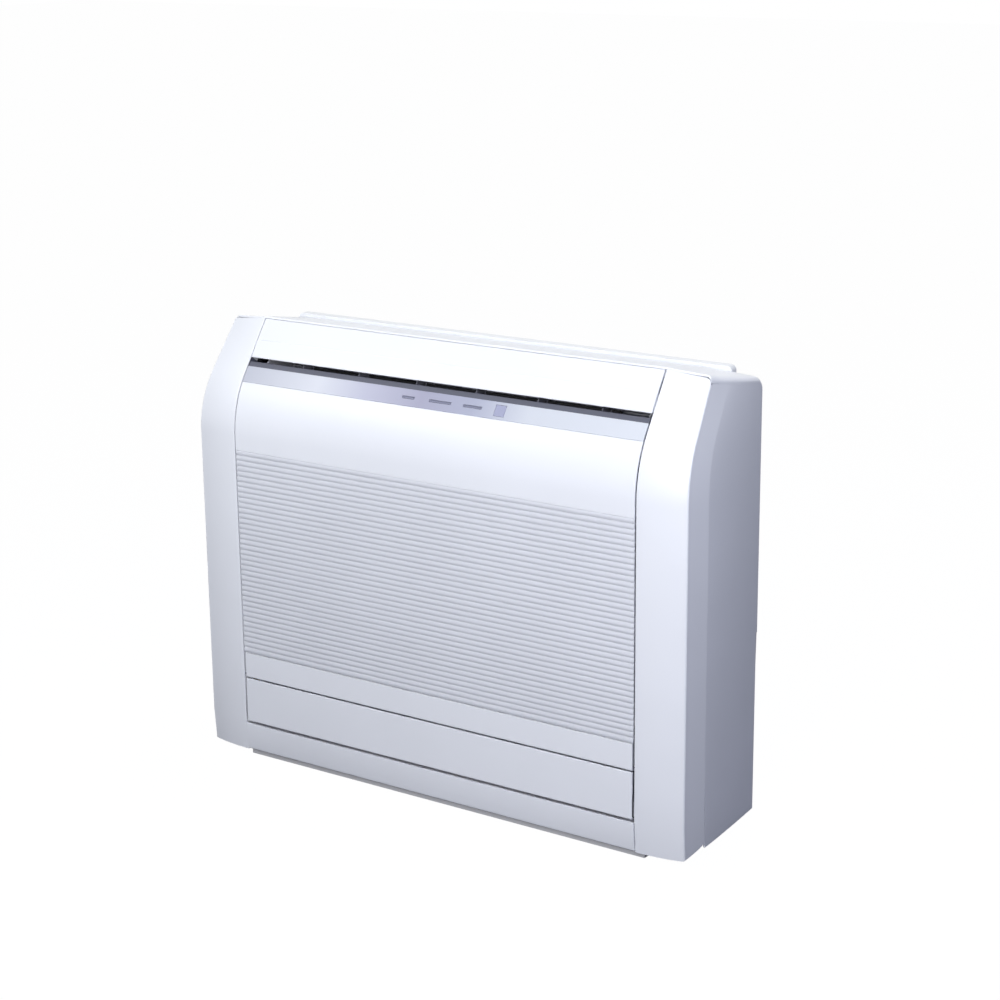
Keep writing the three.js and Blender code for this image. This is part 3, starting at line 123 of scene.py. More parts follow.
world = bpy.data.worlds.new("studio")
bpy.context.scene.world = world
world.use_nodes = True
tree = world.node_tree
tree.nodes.clear()
rays = tree.nodes.new("ShaderNodeLightPath")
sky = tree.nodes.new("ShaderNodeBackground")
sky.inputs["Color"].default_value = (0.62, 0.68, 1.0, 1)
sky.inputs["Strength"].default_value = 0.05
white = tree.nodes.new("ShaderNodeBackground")
white.inputs["Color"].default_value = (1, 1, 1, 1)
white.inputs["Strength"].default_value = 1.0
shows_white = rays.outputs["Is Camera Ray"]
for kind in ("Is Glossy Ray", "Is Transmission Ray"):
    either = tree.nodes.new("ShaderNodeMath")
    either.operation = "MAXIMUM"
    tree.links.new(shows_white, either.inputs[0])
    tree.links.new(rays.outputs[kind], either.inputs[1])
    shows_white = either.outputs[0]
choose = tree.nodes.new("ShaderNodeMixShader")
tree.links.new(shows_white, choose.inputs["Fac"])
tree.links.new(sky.outputs[0], choose.inputs[1])
tree.links.new(white.outputs[0], choose.inputs[2])
tree.links.new(choose.outputs[0], tree.nodes.new("ShaderNodeOutputWorld").inputs["Surface"])

# %% [markdown]
# The floor is pale and plain. Most of what the camera sees of it is its own white, and the rest is
# lit, so that a soft shadow stays under the unit.

# %% Floor
FLOOR_SIZE = 30
FLOOR_OWN_WHITE = 0.9  # the share of the floor's look that the lamps don't change
FLOOR_SINK = 0.0004  # metres below the plinth, so that the two never share a plane

bm = bmesh.new()
bmesh.ops.create_grid(bm, x_segments=1, y_segments=1, size=FLOOR_SIZE / 2)
bmesh.ops.translate(bm, verts=bm.verts, vec=(0, 0, -FLOOR_SINK))
floor_mesh = bpy.data.meshes.new("floor")
bm.to_mesh(floor_mesh)
bm.free()
floor = bpy.data.objects.new("floor", floor_mesh)
bpy.context.scene.collection.objects.link(floor)
finish = bpy.data.materials.new("studio_floor")
finish.use_nodes = True
tree = finish.node_tree
tree.nodes.clear()
rays = tree.nodes.new("ShaderNodeLightPath")
lit = tree.nodes.new("ShaderNodeBsdfDiffuse")
lit.inputs["Color"].default_value = (0.15, 0.155, 0.2, 1)
own = tree.nodes.new("ShaderNodeEmission")
own.inputs["Strength"].default_value = 1.1
share = tree.nodes.new("ShaderNodeMath")
share.operation = "MULTIPLY"
share.inputs[1].default_value = FLOOR_OWN_WHITE
choose = tree.nodes.new("ShaderNodeMixShader")
tree.links.new(rays.outputs["Is Camera Ray"], share.inputs[0])
tree.links.new(share.outputs[0], choose.inputs["Fac"])
tree.links.new(lit.outputs[0], choose.inputs[1])
tree.links.new(own.outputs[0], choose.inputs[2])
tree.links.new(choose.outputs[0], tree.nodes.new("ShaderNodeOutputMaterial").inputs["Surface"])
floor_mesh.materials.append(finish)

# %% [markdown]
# ## The finishes
# The casing is injection moulded plastic with a fine satin grain. Up close its white is not quite
# even, and the grain breaks up the highlight. One function builds such a finish: slow noise moves
# the colour by a percent, faster noise moves the roughness, and very fine noise is the grain.

# %% Moulded plastic


def new_finish(name):
    material = bpy.data.materials.new(name)
    material.use_nodes = True
    shader = material.node_tree.nodes["Principled BSDF"]
    return material, material.node_tree, shader


def noise(tree, scale, detail=2.0, stretch=None):
    place = tree.nodes.new("ShaderNodeTexCoord")
    texture = tree.nodes.new("ShaderNodeTexNoise")
    texture.inputs["Scale"].default_value = scale
    texture.inputs["Detail"].default_value = detail
    if stretch:
        mapping = tree.nodes.new("ShaderNodeMapping")
        mapping.inputs["Scale"].default_value = stretch
        tree.links.new(place.outputs["Object"], mapping.inputs["Vector"])
        tree.links.new(mapping.outputs["Vector"], texture.inputs["Vector"])
    else:
        tree.links.new(place.outputs["Object"], texture.inputs["Vector"])
    return texture.outputs["Fac"]


def ramp(tree, source, stops):
    node = tree.nodes.new("ShaderNodeValToRGB")
    tree.links.new(source, node.inputs["Fac"])
    while len(node.color_ramp.elements) < len(stops):
        node.color_ramp.elements.new(0.5)
    for element, (place, colour) in zip(node.color_ramp.elements, stops):
        element.position = place
        element.color = (*colour, 1)
    return node.outputs["Color"]


def spread(tree, source, low, high):
    node = tree.nodes.new("ShaderNodeMapRange")
    node.inputs["To Min"].default_value = low
    node.inputs["To Max"].default_value = high
    tree.links.new(source, node.inputs["Value"])
    return node.outputs["Result"]


def grain(tree, shader, height, scale, strength):
    bump = tree.nodes.new("ShaderNodeBump")
    bump.inputs["Distance"].default_value = height * MM
    bump.inputs["Strength"].default_value = strength
    tree.links.new(noise(tree, scale, 3), bump.inputs["Height"])
    tree.links.new(bump.outputs["Normal"], shader.inputs["Normal"])


def two_tones(tree, shader, pattern, colour, uneven, reach):
    """The colour runs from a darker to a lighter tone, over a reach round the pattern's middle."""
    low = [c * (1 - uneven) for c in colour]
    high = [min(1, c * (1 + uneven)) for c in colour]
    stops = [(0.5 - reach, low), (0.5 + reach, high)]
    tree.links.new(ramp(tree, pattern, stops), shader.inputs["Base Color"])


def vary_roughness(tree, shader, pattern, roughness, by):
    tree.links.new(spread(tree, pattern, roughness - by, roughness + by), shader.inputs["Roughness"])


def moulded(name, colour, roughness=0.42, uneven=0.015, grain_height=0.03, grain_scale=1500):
    material, tree, shader = new_finish(name)
    two_tones(tree, shader, noise(tree, 7), colour, uneven, 0.2)
    vary_roughness(tree, shader, noise(tree, 90), roughness, 0.06)
    grain(tree, shader, grain_height, grain_scale, 0.35)
    return material


white_plastic = moulded("white_moulded_plastic", (0.855, 0.874, 0.912))
pale_plastic = moulded("pale_moulded_plastic", (0.8, 0.815, 0.83), roughness=0.5)
# painted shade: the slats' grey, darker than the casing white, stands in for the shadow that falls
# among the slats
slat_plastic_painted_shade = moulded("slat_plastic_with_painted_shade", (0.665, 0.68, 0.725), roughness=0.55)
grey_plastic = moulded("grey_moulded_plastic", (0.56, 0.57, 0.61), roughness=0.5)
plinth_plastic = moulded("plinth_plastic", (0.5, 0.5, 0.51), roughness=0.55)
duct_plastic = moulded("duct_plastic", (0.6, 0.6, 0.68), roughness=0.6)
vane_plastic = moulded("vane_plastic", (0.2, 0.2, 0.25), roughness=0.5)
dark_plastic = moulded("dark_moulded_plastic", (0.03, 0.03, 0.034), roughness=0.45)
# painted shade: a dark colour for sheets that stand in for the shadow in the slot and its seams
slot_shade_plastic = moulded("painted_slot_shade_plastic", (0.085, 0.09, 0.12), roughness=0.55)
lens_plastic = moulded("lamp_lens_plastic", (0.19, 0.2, 0.28), roughness=0.2, grain_height=0.005)
receiver_plastic = moulded(
    "receiver_lens_plastic", (0.36, 0.375, 0.52), roughness=0.18, grain_height=0.005
)
thread_plastic = moulded("filter_thread", (0.13, 0.17, 0.23), roughness=0.6)
board_green = moulded(
    "circuit_board", (0.03, 0.14, 0.07), roughness=0.35, uneven=0.2, grain_scale=400
)

# %% [markdown]
# The strip under the slot is a different plastic: a translucent lilac over silver paint. Its colour
# follows the place along the strip: palest towards its ends and deepest in the middle, where the
# lamps are. The lilac is its own colour. How it pales and deepens along the strip is painted
# reflection of the silver under it. A thin clear coat makes it smoother than the casing.

# %% Lilac strip
# painted reflection: the pale and deep lilac tones along the strip stand in for how its silver layer
# catches the light
STRIP_TONES_AND_PAINTED_SHEEN = [
    (0.0, (0.49, 0.51, 0.58)),
    (0.2, (0.67, 0.69, 0.75)),
    (0.33, (0.48, 0.49, 0.6)),
    (0.47, (0.35, 0.35, 0.46)),
    (0.6, (0.38, 0.4, 0.51)),
    (0.73, (0.59, 0.62, 0.68)),
    (1.0, (0.64, 0.67, 0.72)),
]


def strip_finish():
    material, tree, shader = new_finish("lilac_strip_painted_sheen")
    place = tree.nodes.new("ShaderNodeTexCoord")
    split = tree.nodes.new("ShaderNodeSeparateXYZ")
    tree.links.new(place.outputs["Object"], split.inputs[0])
    along = tree.nodes.new("ShaderNodeMapRange")
    along.inputs["From Min"].default_value = -0.3
    along.inputs["From Max"].default_value = 0.3
    tree.links.new(split.outputs["X"], along.inputs["Value"])
    tree.links.new(ramp(tree, along.outputs["Result"], STRIP_TONES_AND_PAINTED_SHEEN), shader.inputs["Base Color"])
    vary_roughness(tree, shader, noise(tree, 900), 0.47, 0.05)
    shader.inputs["Coat Weight"].default_value = 0.1
    grain(tree, shader, 0.008, 2400, 0.3)
    return material


strip_plastic = strip_finish()

# %% [markdown]
# Inside there are a few metals. Zinc plating has a fine crystal pattern, bare fins are brushed, and
# copper is drawn, so the streaks of these two run one way. Brass is turned. The same noise helpers do
# it.

# %% Metals


def metal(name, colour, roughness=0.35, scale=220, stretch=None, uneven=0.12):
    material, tree, shader = new_finish(name)
    pattern = noise(tree, scale, 4, stretch)
    two_tones(tree, shader, pattern, colour, uneven, 0.15)
    vary_roughness(tree, shader, pattern, roughness, 0.1)
    shader.inputs["Metallic"].default_value = 1.0
    grain(tree, shader, 0.01, scale * 6, 0.25)
    return material


zinc = metal("zinc_plating", (0.62, 0.64, 0.66), 0.38)
fin_aluminium = metal("fin_aluminium", (0.68, 0.71, 0.74), 0.36, 500, (1, 1, 0.06))
copper = metal("drawn_copper", (0.78, 0.42, 0.28), 0.3, 300, (1, 1, 0.1))
brass = metal("turned_brass", (0.78, 0.62, 0.3), 0.3, 300)

# %% [markdown]
# ## The shared profile
# These functions say where the front surface lies at each height, where the falling top lies at each
# depth, and how the wings sweep back and drop towards the sides. They are all that ties the outer
# mouldings together, so a seam between two of them closes by itself.

# %% Profile functions
WIDTH, DEPTH, HEIGHT = 740.0, 200.0, 600.0
HALF, FRONT, REAR = WIDTH / 2, -DEPTH / 2, DEPTH / 2
UPRIGHT_TOP, ARC_RADIUS = HEIGHT - 148, 135.0
LEAN, TOP_FALL = math.radians(36), math.radians(11.5)
ARC_TOP = UPRIGHT_TOP + ARC_RADIUS * math.sin(LEAN)
ARC_BACK = ARC_RADIUS * (1 - math.cos(LEAN))
SEAM_X, EDGE_X = HALF - 69, HALF - 5
WALL, FIT, SEAM = 2.5, 0.3, 1.7
PANEL_HALF = SEAM_X - SEAM
COVER_GAP = WALL + FIT
WING_SWEEP, WING_DROP, WING_TAPER, SIDE_DRAW = 8.0, 5.0, 8.0, 3.0
BAND_WIDTH = 45.0
BAND_BACK = WING_SWEEP + BAND_WIDTH
SKIRT_BOTTOM, SKIRT_TOP, TUCK = 7.0, 45.5, 4.6


def front_y(z):
    if z < SKIRT_TOP:
        return FRONT + TUCK * ((SKIRT_TOP - z) / SKIRT_TOP) ** 2
    if z <= UPRIGHT_TOP:
        return FRONT
    if z >= ARC_TOP:
        return FRONT + ARC_BACK + (z - ARC_TOP) * math.tan(LEAN)
    return FRONT + ARC_RADIUS - math.sqrt(ARC_RADIUS**2 - (z - UPRIGHT_TOP) ** 2)


TOP_EDGE_Y = front_y(HEIGHT)


def top_z(y):
    return HEIGHT - (y - TOP_EDGE_Y) * math.tan(TOP_FALL)


def wing_share(x):
    return max(0.0, (abs(x) - SEAM_X) / (EDGE_X - SEAM_X))


def clamp(value):
    return min(1.0, max(0.0, value))


def sweep_back(x):
    return WING_SWEEP * min(1.0, wing_share(x)) ** 2


def side_x(back):
    """How far out the side band is, at a distance behind the front."""
    return HALF - (HALF - EDGE_X) * (1 - clamp((back - WING_SWEEP) / BAND_WIDTH))


def shaped(x, y, z):
    """A point after the wings drop at their sides and draw in towards their top and the wall."""
    rise = clamp((z - UPRIGHT_TOP) / (HEIGHT - UPRIGHT_TOP))
    share = min(1.06, wing_share(x))
    ahead = clamp((REAR - y) / (REAR - front_y(z) - BAND_BACK))
    drawn = WING_TAPER * share * rise**1.5 * ahead
    drawn += SIDE_DRAW * clamp(share) * clamp((y - FRONT - BAND_BACK) / (DEPTH - BAND_BACK)) ** 2
    return x - math.copysign(drawn, x), y, z - WING_DROP * share * rise


def on_lean(z0, up, into):
    """A point by its distances up the lean and into the unit, from the front at a height."""
    return (
        front_y(z0) + up * math.sin(LEAN) + into * math.cos(LEAN),
        z0 + up * math.cos(LEAN) - into * math.sin(LEAN),
    )


def heights(z0, z1, straight=6, curved=28):
    """Levels between two heights, close together where the front is curved."""
    count = {False: straight, True: curved}
    levels = []
    for low, high in ((z0, UPRIGHT_TOP), (UPRIGHT_TOP, ARC_TOP), (ARC_TOP, z1)):
        low, high = max(low, z0), min(high, z1)
        if high > low:
            n = count[low >= UPRIGHT_TOP and high <= ARC_TOP]
            levels += [low + (high - low) * i / n for i in range(n)]
    return levels + [z1]


def arc(centre, radius, start, end, steps):
    """Points of an arc in a plane, with angles in degrees."""
    turns = [math.radians(start + (end - start) * i / steps) for i in range(steps + 1)]
    return [(centre[0] + radius * math.cos(t), centre[1] + radius * math.sin(t)) for t in turns]


print("front profile", [(z, round(front_y(z), 1)) for z in (0, 452, 500, 541, 600)])

# %% [markdown]
# ## Helpers for meshes
# `sheet` starts from a bmesh grid and lays its points on a surface. `shell` gives such a sheet its
# wall. `block`, `rod` and `bar` add the plain features behind a moulding: ribs, pins and rails.
# `piece` turns the finished bmesh into an object, rounds its edges a little with a Bevel modifier,
# and says which body it rides on, which CAD nodes it stands for and which finish it takes. A piece
# with no rounding gets sharp edges instead, so that its end faces don't tint its long faces.

# %% Mesh helpers
SHARP_ANGLE = math.radians(32)  # edges that turn by more are rounded, or stay sharp


def sheet(columns, rows, place, outward):
    bm = bmesh.new()
    wide, high = len(columns) - 1, len(rows) - 1
    bmesh.ops.create_grid(bm, x_segments=wide, y_segments=high, size=1)
    for vert in bm.verts:
        column = columns[round((vert.co.x + 1) / 2 * wide)]
        row = rows[round((vert.co.y + 1) / 2 * high)]
        vert.co = Vector(place(column, row)) * MM
    bm.normal_update()
    facing = sum((face.normal * face.calc_area() for face in bm.faces), Vector())
    if facing.dot(Vector(outward)) < 0:
        bmesh.ops.reverse_faces(bm, faces=bm.faces[:])
    return bm


def shell(bm, wall):
    bm.normal_update()
    bmesh.ops.solidify(bm, geom=bm.faces[:], thickness=wall * MM)
    bmesh.ops.recalc_face_normals(bm, faces=bm.faces[:])
    return bm


def block(bm, x, y, z):
    middle = Vector(((x[0] + x[1]) / 2, (y[0] + y[1]) / 2, (z[0] + z[1]) / 2)) * MM
    size = Vector((abs(x[1] - x[0]), abs(y[1] - y[0]), abs(z[1] - z[0]))) * MM
    matrix = Matrix.Translation(middle) @ Matrix.Diagonal((*size, 1))
    bmesh.ops.create_cube(bm, size=1, matrix=matrix)


def rod(bm, radius, start, end, sides=32):
    start, end = Vector(start) * MM, Vector(end) * MM
    turn = (end - start).to_track_quat("Z", "Y").to_matrix().to_4x4()
    bmesh.ops.create_cone(
        bm, cap_ends=True, segments=sides, radius1=radius * MM, radius2=radius * MM,
        depth=(end - start).length, matrix=Matrix.Translation((start + end) / 2) @ turn,
    )


def prism(bm, outline, along):
    """A closed outline of points, extruded by a vector."""
    face = bm.faces.new([bm.verts.new(Vector(point) * MM) for point in outline])
    moved = bmesh.ops.extrude_face_region(bm, geom=[face])["geom"]
    points = [g for g in moved if isinstance(g, bmesh.types.BMVert)]
    bmesh.ops.translate(bm, verts=points, vec=Vector(along) * MM)


def bar(bm, outline, x0, x1):
    """An outline in (y, z), extruded along X."""
    prism(bm, [(x0, y, z) for y, z in outline], (x1 - x0, 0, 0))


def piece(name, bm, material, body, stands_for=(), edge=0.4, tidy=False):
    if tidy:
        bmesh.ops.recalc_face_normals(bm, faces=bm.faces[:])
    if not edge:
        for one in bm.edges:
            one.smooth = len(one.link_faces) == 2 and one.calc_face_angle() < SHARP_ANGLE
    mesh = bpy.data.meshes.new(name)
    bm.to_mesh(mesh)
    bm.free()
    mesh.materials.append(material)
    mesh.polygons.foreach_set("use_smooth", [True] * len(mesh.polygons))
    made = bpy.data.objects.new(name, mesh)
    bpy.context.scene.collection.objects.link(made)
    if edge:
        bevel = made.modifiers.new("edges", "BEVEL")
        bevel.width = edge * MM
        bevel.segments = 2
        bevel.limit_method = "ANGLE"
        bevel.angle_limit = SHARP_ANGLE
        bevel.use_clamp_overlap = True
        made.modifiers.new("shading", "WEIGHTED_NORMAL").keep_sharp = True
    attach(made, body)
    if stands_for:
        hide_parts(*stands_for)
    return made


SIDES = ((-1, "left"), (1, "right"))


def span(side, a, b):
    """A stretch along X on the right, or its mirror image on the left."""
    return (a, b) if side > 0 else (-b, -a)


# %% [markdown]
# ## The wings
# Each wing is one moulding: a narrow wall in the seam beside the panel, a front that sweeps back, a
# tight corner, and a band round the side. Its plan section is drawn once and carried up the profile.
# The grid's rows are squeezed up at the outer side, which rounds the lower corner.

# %% Wings
WING_BOTTOM, CORNER_RADIUS = 6.0, 10.0
RETURN_DEPTH = 19.0
EDGE_ROUND = 3.0  # the radius of the corner between the wing's front and its band
COVER_TURN, COVER_SIDE = 7.0, 8.5  # the cover's rounded side edge, and how far it comes down
TURN_REACH, NOSE_REACH = 8.3, 10.5  # how far back the cover still turns down, and its nose lies


def turn_drop(x, back):
    """How far the cover has turned down at a place near its side edge."""
    reach = clamp((abs(x) - side_x(back) + COVER_TURN) / COVER_TURN) * COVER_TURN
    return COVER_TURN - math.sqrt(COVER_TURN**2 - reach**2)


def wing_section():
    """Points as (x, distance behind the front), from the seam wall round to the side band."""
    front = [SEAM_X + 1.2 + (EDGE_X - 3.2 - SEAM_X - 1.2) * i / 14 for i in range(15)]
    corner = arc((EDGE_X - 2.6, WING_SWEEP + 2.2), EDGE_ROUND, -84, -4, 6)
    steps = (12.5, 15, 18, 22, 27, 33, 39, 46, BAND_BACK)
    band = [(side_x(back) - 0.004 * (back - 12), back) for back in steps]
    seam_wall = [(SEAM_X, RETURN_DEPTH), (SEAM_X, 8.0), (SEAM_X, 1.4), (SEAM_X + 0.35, 0.4)]
    return seam_wall + [(x, sweep_back(x)) for x in front] + corner + band


def wing_bottom(x):
    beyond = max(0.0, abs(x) - (HALF - CORNER_RADIUS))
    return WING_BOTTOM + CORNER_RADIUS - math.sqrt(max(0.0, CORNER_RADIUS**2 - beyond**2))


def nose_height(down):
    return WALL - 0.4 * down / COVER_SIDE


def wing_top(x, back):
    down = turn_drop(x, back) if back < TURN_REACH else COVER_SIDE
    under = 0.03 + down + (nose_height(down) if back < NOSE_REACH else 0)
    slope = math.tan(TOP_FALL)
    return HEIGHT - (back * slope + under) / (1 + slope * math.tan(LEAN))


def wing(side, name):
    levels = heights(0, HEIGHT, 10, 30)

    def place(point, level):
        x, back = point
        low, high = wing_bottom(x), wing_top(x, back)
        z = low + (high - low) * level / HEIGHT
        return shaped(side * x, front_y(z) + back, z)

    bm = shell(sheet(wing_section(), levels, place, (side * 0.5, -1, 0)), WALL)
    piece(f"{name}_wing_moulding", bm, white_plastic, "casing", [f"{name}_wing"])


for side, name in SIDES:
    wing(side, name)
print("wings made, section of", len(wing_section()), "points")

# %% [markdown]
# ## Side panels
# A side panel is flat, so it shows as one even tone beside the band. Its front edge follows the
# profile and its upper rear corner is rounded. Its foot falls a little towards the wall. Below the
# middle it is cut back, to clear a skirting board on the wall.

# %% Side panels
SIDE_BOTTOM, SIDE_FALL = 7.0, 5.0
NOTCH_TOP, NOTCH_DEPTH, REAR_CORNER = 238.0, 3.0, 10.0
ROUND_START = REAR - REAR_CORNER


def rounded_top(y):
    """Height of the top, with its rear corner rounded down to the wall side."""
    if y <= ROUND_START:
        return top_z(y)
    fall = REAR_CORNER - math.sqrt(max(0.0, REAR_CORNER**2 - (y - ROUND_START) ** 2))
    return top_z(y) - fall


def side_rear(z):
    return REAR - NOTCH_DEPTH * clamp((NOTCH_TOP + NOTCH_DEPTH - z) / NOTCH_DEPTH)


def side_panel(side, name):
    drop = COVER_SIDE + 0.1
    sunk = 0.25  # the front edge lies this much inside the band's rear edge
    rear_low, rear_top = SIDE_BOTTOM - SIDE_FALL, rounded_top(REAR) - drop
    marks = [0.0, 0.2, 0.35]
    marks += [(z - rear_low) / (rear_top - rear_low) for z in (NOTCH_TOP, NOTCH_TOP + NOTCH_DEPTH)]
    marks += [0.6 + 0.4 * i / 28 for i in range(29)]
    across = [i / 10 for i in range(9)] + [0.86, 0.9, 0.93, 0.955, 0.975, 0.99, 1.0]

    def place(share, level):
        low = SIDE_BOTTOM - SIDE_FALL * share
        z = low + (HEIGHT - low) * level
        for _ in range(30):  # the depth sets the height and the height sets the depth
            start = front_y(z) + BAND_BACK + 0.05
            y = start + (side_rear(z) - start) * share
            z = low + (rounded_top(y) - drop - low) * level
        return shaped(side * (HALF - sunk * max(0, 1 - 8 * share)), y, z)

    bm = shell(sheet(across, sorted(marks), place, (side, 0, 0)), WALL)
    piece(f"{name}_side_moulding", bm, white_plastic, "casing",
          [f"{name}_side_panel"], edge=0.2)


for side, name in SIDES:
    side_panel(side, name)

# %% [markdown]
# ## The top cover and the rail behind it
# The cover caps the casing. Its front edge is a soft nose over the upper flap, its sides turn down
# over the wings, and its upper rear edge is rounded at the wall. The middle is notched for the pale
# rail, which stands a few millimetres proud there. The notch is made by deleting the grid's
# faces there, because the grid already has lines along its edges.

# %% Top cover
RAIL_HALF, RAIL_DEPTH, RAIL_RISE = HALF - 38, 14.0, 4.5
TOP_NOSE = 3.0
CASING_TOP = top_z(REAR) - REAR_CORNER - FIT


def cover_profile():
    """Points (y, z) from under the front edge, over the nose, along the top and down the rear."""
    nose_reach = TOP_NOSE * math.tan((math.pi / 2 - LEAN + TOP_FALL) / 2)
    up = Vector((math.sin(LEAN), math.cos(LEAN)))
    along = Vector((math.cos(TOP_FALL), -math.sin(TOP_FALL)))
    edge = Vector((TOP_EDGE_Y, HEIGHT))
    centre = edge - up * nose_reach + Vector((math.cos(LEAN), -math.sin(LEAN))) * TOP_NOSE
    nose = arc(centre, TOP_NOSE, 180 - math.degrees(LEAN), 90 - math.degrees(TOP_FALL), 6)
    flat = REAR - RAIL_DEPTH - FIT - edge.x
    top = [edge.x + flat * share for share in (0.12, 0.25, 0.4, 0.6, 0.8, 0.92, 1.0)]
    top = [(y, top_z(y)) for y in top]
    rear = [(y, rounded_top(y)) for y in (ROUND_START, 93.0, 95.5, 97.5, 99.0, 99.8, 100.0)]
    return [None] + nose + top + rear + [(REAR, CASING_TOP + FIT)]


def cover_columns():
    """Points as (x, how far the cover has turned down there), to the side edge."""
    half = [0.0, 60, 120, 180, 240, 290, SEAM_X, 312, 322]
    half += [RAIL_HALF - 6, RAIL_HALF + FIT, 340, 350, 358]
    turn = arc((HALF - COVER_TURN, -COVER_TURN), COVER_TURN, 90, 0, 8)
    side = [(x, 0.0) for x in half] + [(x, -z) for x, z in turn] + [(HALF, COVER_SIDE)]
    return [(-x, down) for x, down in reversed(side[1:])] + side


def place_cover(column, point):
    x, down = column
    if point is None:
        z = HEIGHT - nose_height(down) / (1 + math.tan(LEAN) * math.tan(TOP_FALL))
        point = front_y(z), z
    y, z = point
    share = clamp(y / TOP_EDGE_Y)
    x -= math.copysign((HALF - side_x(y - TOP_EDGE_Y + WING_SWEEP)) * clamp(wing_share(x)), x)
    y += sweep_back(x) * share - down * math.tan(LEAN) * share
    return shaped(x, y, z - down)


bm = sheet(cover_columns(), cover_profile(), place_cover, (0, 0, 1))
notch = [
    face for face in bm.faces
    if abs(face.calc_center_median().x) < RAIL_HALF * MM
    and face.calc_center_median().y > (REAR - RAIL_DEPTH) * MM
]
bmesh.ops.delete(bm, geom=notch, context="FACES")
bm = shell(bm, WALL)
lip = [on_lean(HEIGHT - COVER_GAP, *p) for p in ((-7, 3.6), (1.5, 3.6), (1.5, 4.8), (-7, 4.8))]
bar(bm, lip, -PANEL_HALF, PANEL_HALF)
piece("cover_moulding", bm, white_plastic, "casing", ["top_cover"], 0.4, True)

# %% Rear rail
RAIL_ROUND = 7.0
rail_top = top_z(REAR - RAIL_DEPTH) + RAIL_RISE
rail_bottom = CASING_TOP + FIT
inner_x, inner_z = RAIL_HALF - RAIL_ROUND, rail_top - RAIL_ROUND
outline = [(-RAIL_HALF, rail_bottom), (RAIL_HALF, rail_bottom)]
outline += arc((inner_x, inner_z), RAIL_ROUND, 0, 90, 8)
outline += arc((-inner_x, inner_z), RAIL_ROUND, 90, 180, 8)
bm = bmesh.new()
prism(bm, [(x, REAR - RAIL_DEPTH, z) for x, z in outline], (0, RAIL_DEPTH, 0))
piece("rear_rail_moulding", bm, pale_plastic, "casing", ["rear_top_rail"], 0.9, True)

# %% [markdown]
# ## The skirt
# The skirt closes the front under the lower flap. It is a plain strip with a rounded lower edge
# that turns in over the plinth. Behind it, a ledge and a plate hide the floor from a look past the
# lower flap.

# %% Skirt
foot_y = front_y(SKIRT_BOTTOM + 2)
skirt_outline = arc((foot_y + 2, SKIRT_BOTTOM + 2), 2, 270, 180, 6)
skirt_outline += [(front_y(z), z) for z in (13, 19, 26, 34, 40, SKIRT_TOP)]
skirt_outline += [(FRONT + WALL, SKIRT_TOP), (FRONT + WALL + 1, 30)]
skirt_outline += [(y, SKIRT_BOTTOM + WALL) for y in (foot_y + WALL, FRONT + 5.7)]
skirt_outline += [(FRONT + 5.7, SKIRT_BOTTOM)]
bm = bmesh.new()
bar(bm, skirt_outline, -SEAM_X + 0.4, SEAM_X - 0.4)
piece("skirt_moulding", bm, white_plastic, "casing", ["bottom_skirt"], 0.3, True)

LEDGE_Z, LEDGE_BACK, LEDGE_THICK = 40.5, FRONT + 22, 1.5
across = (-PANEL_HALF, PANEL_HALF)
ledge_top = LEDGE_Z + LEDGE_THICK
bm = bmesh.new()
block(bm, across, (FRONT + WALL + 0.1, LEDGE_BACK), (LEDGE_Z, ledge_top))
block(bm, across, (LEDGE_BACK - LEDGE_THICK, LEDGE_BACK), (ledge_top, ledge_top + 5))
block(bm, across, (FRONT + 8, FRONT + 120), (30, 30 + LEDGE_THICK))
piece("skirt_ledge", bm, duct_plastic, "casing", (), 0.2)

# %% [markdown]
# ## The front panel
# The panel is one moulding that swings down on two pins at its foot: the curved upper part, the
# plain strip below the grille, and two rails behind the ends of the slats that join them. The pins
# are painted with the slot's dark shade colour, because a pale one would show in the seam, which lies
# in shadow.

# %% Panel moulding
PANEL_BOTTOM, GRILLE_BOTTOM = 113.0, 149.0
GRILLE_TOP, STRIP_BOTTOM, STRIP_TOP = HEIGHT - 167, HEIGHT - 77.5, HEIGHT - 59
PANEL_TOP = STRIP_BOTTOM - 0.35
SLAT_DEPTH = 5.0
RAIL_INNER = PANEL_HALF - 12
PIN_Y, PIN_Z, PIN_RADIUS = FRONT + 3.6, PANEL_BOTTOM + 3.6, 1.8
SWING_GAP = 1.3  # the foot and the lower flap keep this much further from the wings


def panel_moulding():
    ends = [-PANEL_HALF, PANEL_HALF]
    across = [ends[0] + (ends[1] - ends[0]) * i / 8 for i in range(9)]
    rows = heights(GRILLE_TOP + FIT, PANEL_TOP, 3, 30)
    bm = shell(sheet(across, rows, lambda x, z: (x, front_y(z), z), (0, -1, 0)), WALL)
    foot = arc((FRONT + 2.5, PANEL_BOTTOM + 2.5), 2.5, 270, 180, 6)
    foot += [(FRONT, GRILLE_BOTTOM - FIT), (FRONT + WALL, GRILLE_BOTTOM - FIT)]
    foot += [(FRONT + WALL, PANEL_BOTTOM + WALL), (FRONT + 7, PANEL_BOTTOM + WALL)]
    foot += [(FRONT + 7, PANEL_BOTTOM)]
    bar(bm, foot, ends[0] + SWING_GAP, ends[1] - SWING_GAP)
    rail_y = FRONT + SLAT_DEPTH + FIT
    for side, _ in SIDES:
        x = span(side, RAIL_INNER, PANEL_HALF - 2.5)
        block(bm, x, (rail_y, rail_y + 4), (PANEL_BOTTOM + 1, GRILLE_TOP + 12))
        block(bm, x, (FRONT + WALL, rail_y), (PANEL_BOTTOM + 1, GRILLE_BOTTOM - FIT))
        block(bm, x, (FRONT + WALL, rail_y), (GRILLE_TOP + FIT, GRILLE_TOP + 12))
    return bm


piece("panel_moulding", panel_moulding(), white_plastic, "front_panel",
      ["front_panel_shell"], 0.3)

